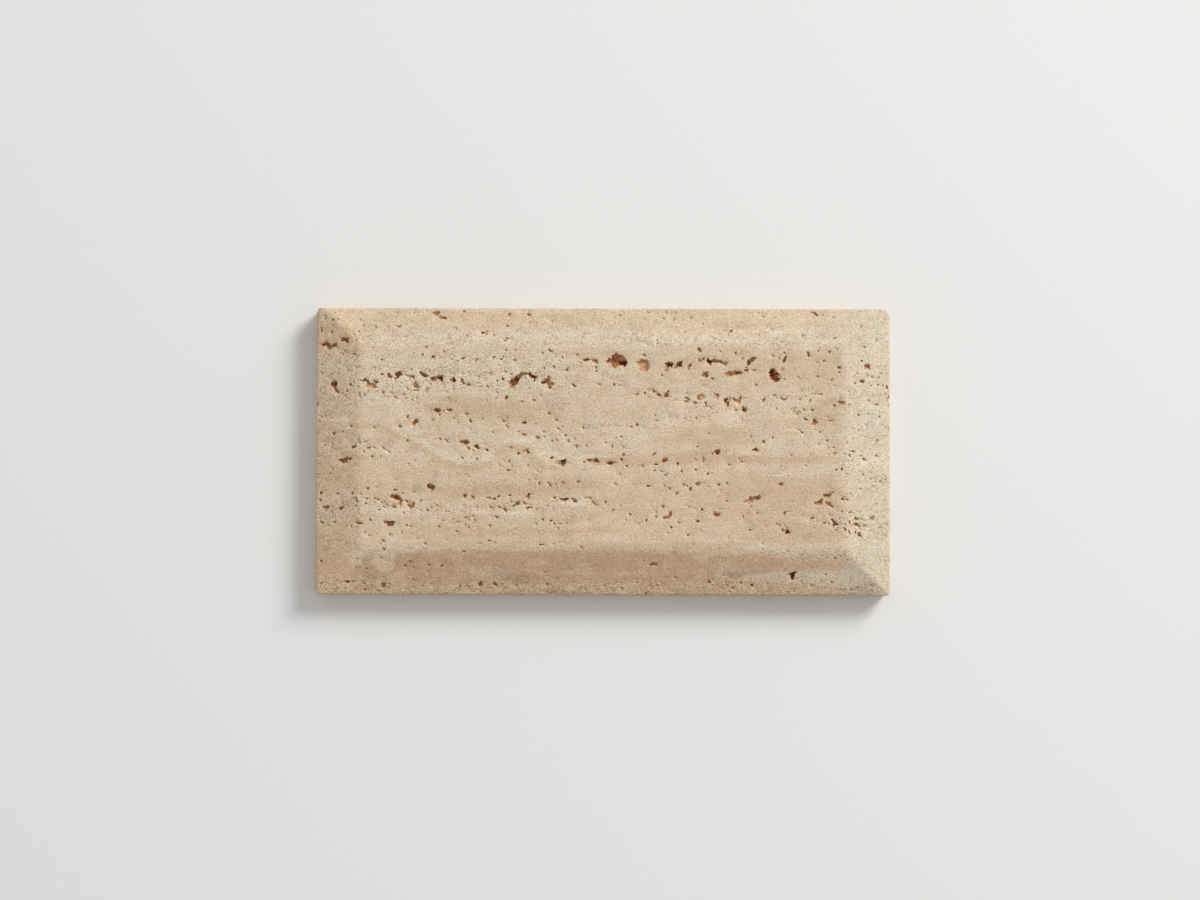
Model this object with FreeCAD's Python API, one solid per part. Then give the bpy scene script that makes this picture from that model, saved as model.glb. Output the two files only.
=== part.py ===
import FreeCAD, Part
import math
import os
import random

# Subway wall tile in natural travertine, sawn from one slab, bevelled and left unfilled.
# Origin at the middle of the sawn back, +Z out through the ground face.
# +X runs along the length, which is also the way the beds of the stone run. Millimetres.

# Overall size of the sawn blank
TILE_LENGTH = 152.4
TILE_WIDTH = 76.2
TILE_THICKNESS = 10.0

# The four bevels share one grinding angle, and each has its own width in plan
BEVEL_ANGLE = 20.0
BEVEL_LEFT = 11.9
BEVEL_RIGHT = 12.4
BEVEL_TOP = 10.2
BEVEL_BOTTOM = 12.2

# Upright corners of the blank, worn round by the tumbling of the edges
CORNER_TOP_LEFT = 1.2
CORNER_TOP_RIGHT = 2.0
CORNER_BOTTOM_LEFT = 1.4
CORNER_BOTTOM_RIGHT = 1.2

# Softened lines: the ridges and mitres of the face, and the arris where it meets the sides
RIDGE_RADIUS = 3.0
ARRIS_RADIUS = 0.6

# Depths that the natural voids reach below the face that cuts them open
DEEP = 3.0
MIDDLE = 1.7
SHALLOW = 0.9
PAN = 0.5

# How a lobe opens, in shares of its depth and of its mouth
LIP_SHARE = 0.15
BELLY_SHARE = 0.45
UNDERCUT = 0.1
FLOOR_SHARE = 0.5

# How ragged a mouth is: how far its corners stand in or out, and how far apart they are
RAGGED = 0.14
CHIP_LENGTH = 0.65
FEWEST_CORNERS = 6
CHIPS = random.Random(11)

# How far the cutting solids stand over the face
ABOVE_FACE = 1.5

# Each void is one lobe or several that run together.
# A lobe is its place in plan, length, width, turn from the beds in degrees, and depth.
TOP_BEVEL_VOIDS = [
    (-74.0, 28.3, 1.2, 1.1, 0, MIDDLE),
    (-72.8, 27.8, 1.5, 1.0, 0, DEEP),
    (-71.3, 28.1, 1.0, 0.8, 0, MIDDLE),
    (-68.4, 29.6, 1.2, 1.0, 90, MIDDLE),
    (-69.5, 29.1, 0.9, 0.7, 0, SHALLOW),
    (-44.4, 36.6, 1.5, 0.6, -10, MIDDLE),
    (-42.7, 35.5, 2.0, 0.5, -12, SHALLOW),
    (33.8, 31.4, 0.9, 0.7, 0, MIDDLE),
    (56.3, 36.7, 1.8, 0.5, -28, MIDDLE),
]

# The bed with the two largest voids, one third of the way down the face
UPPER_BED_VOIDS = [
    (3.9, 23.9, 4.0, 2.9, 0, DEEP),
    (2.0, 24.2, 2.6, 1.1, 20, MIDDLE),
    (3.0, 22.4, 1.8, 0.8, 0, MIDDLE),
    (10.7, 22.8, 2.5, 2.5, 0, SHALLOW),
    (-4.8, 23.9, 1.5, 0.9, 0, MIDDLE),
    (-2.1, 23.8, 1.1, 0.9, -30, SHALLOW),
    (-23.6, 23.8, 1.6, 0.5, 0, MIDDLE),
    (-33.6, 23.8, 0.9, 0.6, 60, MIDDLE),
    (-37.1, 24.6, 1.0, 0.6, 0, MIDDLE),
    (17.5, 23.2, 1.3, 1.2, 0, DEEP),
    (16.6, 21.8, 1.5, 0.5, 65, SHALLOW),
    (20.1, 23.2, 1.3, 1.2, 30, MIDDLE),
    (22.8, 22.8, 0.9, 0.6, 90, SHALLOW),
    (28.3, 23.6, 1.7, 1.3, -40, DEEP),
    (29.5, 23.8, 1.6, 0.9, 0, SHALLOW),
    (31.3, 23.4, 2.6, 0.6, -12, SHALLOW),
    (39.4, 24.6, 1.2, 0.7, 0, MIDDLE),
    (38.5, 23.9, 1.5, 0.9, 70, MIDDLE),
    (38.1, 21.6, 1.1, 0.9, 0, SHALLOW),
    (48.3, 24.1, 1.2, 0.7, 60, MIDDLE),
    (54.2, 25.5, 1.3, 0.5, -65, MIDDLE),
    (70.0, 22.5, 0.9, 0.9, 0, MIDDLE),
    (45.2, 19.9, 3.3, 2.6, 90, DEEP),
    (44.8, 21.2, 1.5, 1.3, 0, MIDDLE),
    (47.3, 21.3, 1.6, 0.7, 0, PAN),
]

# A chain of voids along one seam, from the left bevel to the right one
SEAM_VOIDS = [
    (-71.0, 17.3, 1.4, 1.4, 0, DEEP),
    (-70.6, 16.1, 1.1, 0.6, -70, MIDDLE),
    (-63.0, 18.4, 1.1, 1.0, 0, MIDDLE),
    (-61.4, 17.7, 1.6, 0.7, 0, SHALLOW),
    (-60.6, 17.4, 1.6, 1.2, 90, SHALLOW),
    (-56.7, 19.7, 1.0, 0.7, 90, MIDDLE),
    (-54.2, 19.9, 2.2, 1.2, 35, DEEP),
    (-50.6, 19.5, 1.6, 1.1, 0, SHALLOW),
    (-47.5, 20.0, 2.0, 0.7, -25, MIDDLE),
    (-44.7, 18.9, 1.4, 0.9, 90, MIDDLE),
    (-43.3, 19.2, 1.4, 1.1, 0, DEEP),
    (-40.3, 18.4, 1.2, 1.0, 90, MIDDLE),
    (-37.4, 18.3, 1.3, 0.6, -30, MIDDLE),
    (-35.7, 17.6, 1.5, 0.5, -25, MIDDLE),
    (-23.3, 18.7, 2.8, 1.3, 52, DEEP),
    (-21.0, 20.0, 2.2, 0.7, 10, SHALLOW),
    (-18.9, 19.5, 2.1, 1.0, -10, MIDDLE),
    (-14.5, 19.1, 0.9, 0.7, 90, SHALLOW),
    (-15.2, 18.0, 1.6, 1.1, 0, MIDDLE),
    (-14.4, 17.0, 1.5, 1.2, 90, SHALLOW),
    (27.0, 20.3, 1.5, 0.8, 20, MIDDLE),
    (34.0, 20.5, 2.6, 0.8, 0, SHALLOW),
    (35.7, 20.7, 1.3, 0.9, 0, MIDDLE),
    (68.7, 19.0, 1.5, 0.8, 22, MIDDLE),
    (-49.9, 16.7, 1.0, 0.9, 0, MIDDLE),
    (-46.5, 15.9, 1.7, 1.0, 70, SHALLOW),
    (-25.6, 13.8, 1.3, 0.6, 65, MIDDLE),
    (14.5, 14.8, 1.0, 0.8, 0, SHALLOW),
    (16.8, 14.8, 1.1, 0.9, 0, MIDDLE),
    (25.5, 14.2, 1.6, 0.7, 20, SHALLOW),
    (29.9, 14.5, 1.3, 0.9, 0, SHALLOW),
    (32.6, 13.2, 1.4, 1.0, 90, MIDDLE),
    (34.3, 13.2, 3.0, 1.5, 0, PAN),
    (36.0, 13.5, 1.4, 0.9, 90, SHALLOW),
    (37.1, 11.1, 1.3, 1.1, 0, DEEP),
    (47.4, 14.0, 2.4, 0.8, 0, SHALLOW),
    (50.5, 10.0, 2.4, 1.2, -20, PAN),
]

# Scattered voids across the middle of the face
MIDDLE_VOIDS = [
    (-44.2, 10.5, 1.3, 1.0, -10, MIDDLE),
    (-40.7, 10.6, 1.3, 0.6, -10, MIDDLE),
    (-49.8, 7.6, 1.5, 0.8, 80, MIDDLE),
    (-68.5, -2.7, 1.3, 1.1, 60, DEEP),
    (-67.4, -2.4, 1.4, 0.7, 15, MIDDLE),
    (-37.1, 2.1, 1.0, 0.7, 0, MIDDLE),
    (-36.1, 2.1, 1.0, 0.9, 0, MIDDLE),
    (-33.3, 0.9, 1.3, 0.8, -35, MIDDLE),
    (-11.5, -3.3, 1.2, 0.8, 0, SHALLOW),
    (-10.4, -2.9, 1.1, 1.0, 0, MIDDLE),
    (-3.3, -2.3, 1.7, 0.8, -15, SHALLOW),
    (-1.8, -2.9, 1.0, 0.9, 0, MIDDLE),
    (2.0, -3.6, 1.4, 0.9, 0, MIDDLE),
    (16.3, -2.5, 1.2, 0.9, 60, MIDDLE),
    (30.3, -0.2, 1.3, 0.9, 0, MIDDLE),
    (40.1, 0.2, 1.1, 0.6, 0, MIDDLE),
]

# Two seams with the long slot, below the middle of the face
LOWER_SEAM_VOIDS = [
    (-45.8, -9.6, 2.4, 1.2, -46, DEEP),
    (-54.6, -12.7, 2.4, 0.9, -15, DEEP),
    (-53.6, -13.7, 1.5, 0.6, -75, MIDDLE),
    (-50.9, -14.5, 1.2, 0.9, 0, SHALLOW),
    (-19.8, -11.4, 1.7, 0.8, 30, MIDDLE),
    (-9.9, -12.7, 2.4, 0.7, 0, MIDDLE),
    (-7.6, -13.1, 1.3, 0.5, -25, SHALLOW),
    (38.8, -12.6, 3.8, 0.6, 0, DEEP),
    (40.6, -12.5, 1.1, 0.8, 0, MIDDLE),
    (57.1, -12.9, 1.8, 0.9, 25, MIDDLE),
    (59.0, -11.8, 1.2, 0.8, 0, MIDDLE),
    (59.8, -14.0, 2.4, 0.5, -35, MIDDLE),
    (-69.0, -15.4, 1.4, 0.6, 40, MIDDLE),
    (-25.8, -15.6, 1.1, 0.5, -30, MIDDLE),
    (-22.9, -14.2, 1.8, 0.6, 25, SHALLOW),
    (-19.9, -15.0, 1.2, 0.5, 30, MIDDLE),
    (15.7, -14.9, 1.1, 0.7, 30, SHALLOW),
    (17.8, -16.4, 1.2, 0.7, -10, SHALLOW),
    (16.9, -17.5, 1.4, 0.6, 10, MIDDLE),
    (29.9, -16.7, 1.1, 1.0, 0, DEEP),
    (25.1, -18.5, 1.1, 0.8, 0, SHALLOW),
    (-64.4, -19.3, 1.9, 0.7, 0, MIDDLE),
    (-56.5, -19.4, 2.6, 0.8, 0, MIDDLE),
    (48.4, -21.1, 1.6, 1.2, -10, MIDDLE),
    (61.1, -19.2, 1.9, 0.8, -55, MIDDLE),
    (67.3, -17.8, 1.4, 0.5, -10, MIDDLE),
    (67.0, -19.5, 1.5, 0.6, -55, SHALLOW),
    (68.0, -22.0, 0.9, 0.7, 90, DEEP),
]

# Voids that the grinding of the bottom bevel cut open
BOTTOM_BEVEL_VOIDS = [
    (50.3, -32.6, 1.7, 1.3, 60, DEEP),
    (39.5, -35.4, 1.3, 0.5, 0, MIDDLE),
    (28.3, -34.5, 0.9, 0.5, -40, MIDDLE),
    (13.4, -30.2, 1.3, 0.5, -20, SHALLOW),
    (-28.3, -35.4, 1.1, 0.5, -40, MIDDLE),
    (-32.2, -35.3, 1.0, 0.6, 80, MIDDLE),
    (-58.3, -35.6, 1.3, 0.6, 90, MIDDLE),
    (-67.3, -34.8, 1.2, 0.5, 0, MIDDLE),
]

ALL_VOIDS = (
    TOP_BEVEL_VOIDS
    + UPPER_BED_VOIDS
    + SEAM_VOIDS
    + MIDDLE_VOIDS
    + LOWER_SEAM_VOIDS
    + BOTTOM_BEVEL_VOIDS
)

HALF_LENGTH = TILE_LENGTH / 2
HALF_WIDTH = TILE_WIDTH / 2
BEVEL_SLOPE = math.tan(math.radians(BEVEL_ANGLE))

# Points nearer than this count as the same place
SAME_PLACE = 0.001


def face_height(x, y):
    """Height of the ground face over the back at a place in plan."""
    into_bevels = [
        BEVEL_LEFT - (HALF_LENGTH + x),
        BEVEL_RIGHT - (HALF_LENGTH - x),
        BEVEL_TOP - (HALF_WIDTH - y),
        BEVEL_BOTTOM - (HALF_WIDTH + y),
        0.0,
    ]
    return TILE_THICKNESS - max(into_bevels) * BEVEL_SLOPE


def corner_arc(centre_x, centre_y, radius, start_angle):
    """One upright corner of the blank in plan, a quarter turn anticlockwise."""
    middle_angle = start_angle + 45
    end_angle = start_angle + 90
    points = []
    for angle in (start_angle, middle_angle, end_angle):
        across = radius * math.cos(math.radians(angle))
        along = radius * math.sin(math.radians(angle))
        points.append(FreeCAD.Vector(centre_x + across, centre_y + along, 0))
    return Part.Arc(*points).toShape()


def blank():
    """The sawn blank: a flat slab with its four upright corners worn round."""
    arcs = [
        corner_arc(HALF_LENGTH - CORNER_TOP_RIGHT, HALF_WIDTH - CORNER_TOP_RIGHT, CORNER_TOP_RIGHT, 0),
        corner_arc(-HALF_LENGTH + CORNER_TOP_LEFT, HALF_WIDTH - CORNER_TOP_LEFT, CORNER_TOP_LEFT, 90),
        corner_arc(
            -HALF_LENGTH + CORNER_BOTTOM_LEFT, -HALF_WIDTH + CORNER_BOTTOM_LEFT, CORNER_BOTTOM_LEFT, 180
        ),
        corner_arc(
            HALF_LENGTH - CORNER_BOTTOM_RIGHT, -HALF_WIDTH + CORNER_BOTTOM_RIGHT, CORNER_BOTTOM_RIGHT, 270
        ),
    ]
    edges = []
    for index, arc in enumerate(arcs):
        following = arcs[(index + 1) % len(arcs)]
        edges.append(arc)
        edges.append(Part.makeLine(arc.Vertexes[-1].Point, following.Vertexes[0].Point))
    outline = Part.Face(Part.Wire(edges))
    return outline.extrude(FreeCAD.Vector(0, 0, TILE_THICKNESS))


def ground_profile(half_span, low_bevel, high_bevel):
    """The section that the grinding wheel leaves across one pair of bevels."""
    low_edge = TILE_THICKNESS - low_bevel * BEVEL_SLOPE
    high_edge = TILE_THICKNESS - high_bevel * BEVEL_SLOPE
    return [
        (-half_span, 0),
        (half_span, 0),
        (half_span, high_edge),
        (half_span - high_bevel, TILE_THICKNESS),
        (-half_span + low_bevel, TILE_THICKNESS),
        (-half_span, low_edge),
    ]


def ground_prism(profile, place, sweep):
    """The section drawn out along the other side of the tile."""
    corners = [place(across, height) for across, height in profile]
    section = Part.Face(Part.makePolygon(corners + corners[:1]))
    return section.extrude(sweep)


def bevelled_blank():
    """The blank with both pairs of bevels ground on, so that they meet in mitres."""
    lengthwise = ground_prism(
        ground_profile(HALF_LENGTH, BEVEL_LEFT, BEVEL_RIGHT),
        lambda across, height: FreeCAD.Vector(across, -HALF_WIDTH, height),
        FreeCAD.Vector(0, TILE_WIDTH, 0),
    )
    crosswise = ground_prism(
        ground_profile(HALF_WIDTH, BEVEL_BOTTOM, BEVEL_TOP),
        lambda across, height: FreeCAD.Vector(-HALF_LENGTH, across, height),
        FreeCAD.Vector(TILE_LENGTH, 0, 0),
    )
    return blank().common(lengthwise).common(crosswise).removeSplitter()


def touches_flat(edge):
    """True for the ridges round the flat and for the mitres that end on it."""
    return any(vertex.Point.z > TILE_THICKNESS - SAME_PLACE for vertex in edge.Vertexes)


def is_outer_arris(edge):
    """True for a line where the ground face ends at the sawn sides."""
    corner = max(CORNER_TOP_LEFT, CORNER_TOP_RIGHT, CORNER_BOTTOM_LEFT, CORNER_BOTTOM_RIGHT)
    for vertex in edge.Vertexes:
        place = vertex.Point
        off_ends = abs(place.x) < HALF_LENGTH - corner - SAME_PLACE
        off_sides = abs(place.y) < HALF_WIDTH - corner - SAME_PLACE
        if place.z < SAME_PLACE or (off_ends and off_sides):
            return False
    return True


def softened(solid):
    """The solid with its ridges and mitres worn, and then the whole outer arris."""
    worn = solid.makeFillet(RIDGE_RADIUS, [edge for edge in solid.Edges if touches_flat(edge)])
    return worn.makeFillet(ARRIS_RADIUS, [edge for edge in worn.Edges if is_outer_arris(edge)])


def ragged_outline(length, width, turn):
    """The mouth of one lobe in plan: an oval with a chipped edge, round its own middle."""
    girth = math.pi * (length + width) / 2
    corners = max(FEWEST_CORNERS, round(girth / CHIP_LENGTH))
    upright = FreeCAD.Vector(0, 0, 1)
    points = []
    for index in range(corners):
        around = 2 * math.pi * index / corners
        reach = 1 + RAGGED * CHIPS.uniform(-1, 1)
        point = FreeCAD.Vector(length / 2 * math.cos(around), width / 2 * math.sin(around), 0) * reach
        points.append(FreeCAD.Rotation(upright, turn).multVec(point))
    return points


def stacked_solid(rings):
    """A closed solid through level rings with as many corners each, from the top one down."""
    faces = [Part.Face(Part.makePolygon(ring + ring[:1])) for ring in (rings[0], rings[-1])]
    for upper, lower in zip(rings, rings[1:]):
        for index in range(len(upper)):
            following = (index + 1) % len(upper)
            wall = [upper[index], upper[following], lower[following], lower[index], upper[index]]
            faces.append(Part.Face(Part.makePolygon(wall)))
    closed = Part.Solid(Part.Shell(faces))
    if closed.Volume < 0:
        closed.reverse()
    return closed


def hollow(x, y, length, width, turn, depth):
    """One lobe of a void: a short upright lip, an undercut belly and a narrower floor."""
    outline = ragged_outline(length, width, turn)
    face = face_height(x, y)
    levels = [
        (face + ABOVE_FACE, 1.0),
        (face - LIP_SHARE * depth, 1.0),
        (face - BELLY_SHARE * depth, 1.0 + UNDERCUT),
        (face - depth, FLOOR_SHARE),
    ]
    rings = []
    for height, spread in levels:
        middle = FreeCAD.Vector(x, y, height)
        rings.append([middle + point * spread for point in outline])
    return stacked_solid(rings)


def tile():
    """The finished tile: one piece of stone with its natural voids cut open."""
    stone = softened(bevelled_blank())
    return stone.cut([hollow(*lobe) for lobe in ALL_VOIDS])


os.makedirs("parts", exist_ok=True)
finished = tile()
print("valid", finished.isValid(), "solids", len(finished.Solids), "faces", len(finished.Faces))
finished.Solids[0].exportStep("parts/travertine_tile.step")
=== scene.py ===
import math

import bmesh
import bpy
import numpy as np
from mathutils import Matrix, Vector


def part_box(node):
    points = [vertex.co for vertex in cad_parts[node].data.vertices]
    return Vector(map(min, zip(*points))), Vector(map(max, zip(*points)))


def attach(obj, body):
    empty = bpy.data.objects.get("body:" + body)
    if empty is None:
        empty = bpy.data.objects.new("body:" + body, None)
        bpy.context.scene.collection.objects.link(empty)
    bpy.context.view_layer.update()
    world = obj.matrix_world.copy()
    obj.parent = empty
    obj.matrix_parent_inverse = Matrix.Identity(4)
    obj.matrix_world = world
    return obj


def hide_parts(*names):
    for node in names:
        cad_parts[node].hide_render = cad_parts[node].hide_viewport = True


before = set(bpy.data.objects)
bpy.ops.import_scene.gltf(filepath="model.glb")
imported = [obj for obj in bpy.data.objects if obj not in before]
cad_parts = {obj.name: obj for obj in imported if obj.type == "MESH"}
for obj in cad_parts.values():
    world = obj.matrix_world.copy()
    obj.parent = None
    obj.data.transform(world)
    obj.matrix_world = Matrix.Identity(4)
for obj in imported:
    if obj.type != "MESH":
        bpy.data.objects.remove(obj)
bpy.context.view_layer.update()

import openvdb
from mathutils import Matrix, Vector


# The sawn blank: one slab of travertine cut to size, with its face ground flat and its four
# bevels ground at one angle. It is worked out in millimetres as a block of small cells, each
# with its distance from the skin of the stone, so that the voids can be cut into it.
MM = 0.001
CELL = 0.15
SKIN_CELLS = 3
SPARE_CELLS = 4
TILE_LOW, TILE_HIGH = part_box("travertine_tile")
HALF_LENGTH = TILE_HIGH.x / MM
HALF_WIDTH = TILE_HIGH.y / MM
THICKNESS = TILE_HIGH.z / MM
BEVEL_ANGLE = math.radians(20.0)
BEVEL_LEFT, BEVEL_RIGHT, BEVEL_TOP, BEVEL_BOTTOM = 11.9, 12.4, 10.2, 12.2
CORNER_TOP_LEFT, CORNER_TOP_RIGHT, CORNER_BOTTOM_LEFT, CORNER_BOTTOM_RIGHT = 1.2, 2.0, 1.4, 1.2
RIDGE_WEAR = 0.19
MITRE_WEAR = 0.12
ARRIS_WEAR = 0.5
BACK_WEAR = 0.2


def worn_join(one, other, wear):
    """The greater of two distances, with the edge where they meet worn round."""
    share = np.clip(0.5 + 0.5 * (one - other) / wear, 0, 1)
    return other + (one - other) * share + wear * share * (1 - share)


def face_height(x, y):
    """Height of the ground face over the back at a place in plan."""
    into_ends = np.maximum(BEVEL_LEFT - HALF_LENGTH - x, BEVEL_RIGHT - HALF_LENGTH + x)
    into_sides = np.maximum(BEVEL_BOTTOM - HALF_WIDTH - y, BEVEL_TOP - HALF_WIDTH + y)
    return THICKNESS - np.maximum(np.maximum(into_ends, into_sides), 0) * math.tan(BEVEL_ANGLE)


def blank_distance(x, y, z):
    """Distance out from the skin of the blank before any void is cut, below zero in the stone."""
    above = (z - THICKNESS) * math.cos(BEVEL_ANGLE)
    into_ends = np.maximum(BEVEL_LEFT - HALF_LENGTH - x, BEVEL_RIGHT - HALF_LENGTH + x)
    into_sides = np.maximum(BEVEL_BOTTOM - HALF_WIDTH - y, BEVEL_TOP - HALF_WIDTH + y)
    end_bevels = above + into_ends * math.sin(BEVEL_ANGLE)
    side_bevels = above + into_sides * math.sin(BEVEL_ANGLE)
    ground = worn_join(worn_join(end_bevels, side_bevels, MITRE_WEAR), z - THICKNESS, RIDGE_WEAR)
    corner = np.where(
        x < 0,
        np.where(y < 0, CORNER_BOTTOM_LEFT, CORNER_TOP_LEFT),
        np.where(y < 0, CORNER_BOTTOM_RIGHT, CORNER_TOP_RIGHT),
    )
    past_ends = np.abs(x) - HALF_LENGTH + corner
    past_sides = np.abs(y) - HALF_WIDTH + corner
    round_corner = np.hypot(np.maximum(past_ends, 0), np.maximum(past_sides, 0))
    sawn = np.minimum(np.maximum(past_ends, past_sides), 0) + round_corner - corner
    return worn_join(worn_join(ground, sawn, ARRIS_WEAR), -z, BACK_WEAR)


def cell_line(low, high):
    """Where the cells lie along one side of the block, with a few to spare at both ends."""
    return np.arange(low - SPARE_CELLS * CELL, high + (SPARE_CELLS + 0.5) * CELL, CELL, dtype=np.float32)


along_x = cell_line(-HALF_LENGTH, HALF_LENGTH)
along_y = cell_line(-HALF_WIDTH, HALF_WIDTH)
along_z = cell_line(0, THICKNESS)
stone_cells = blank_distance(along_x[:, None, None], along_y[None, :, None], along_z[None, None, :])
stone_cells = stone_cells.astype(np.float32)


# The beds of the stone: layers laid down one over another in the spring that made it, some
# dense and tan, some open and cream. They stand upright in the slab and run along its length,
# so they show as stripes on the face, the back and both ends.
GROUND = (0.620, 0.491, 0.342)
CREAM = (0.652, 0.532, 0.382)
GREY = (0.562, 0.485, 0.362)
PALE = (0.700, 0.610, 0.468)
TAN = (0.556, 0.402, 0.256)
DRAB = (0.532, 0.412, 0.286)
PINK = (0.580, 0.422, 0.280)
BROWN = (0.520, 0.320, 0.182)
OLIVE = (0.570, 0.400, 0.244)

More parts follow.
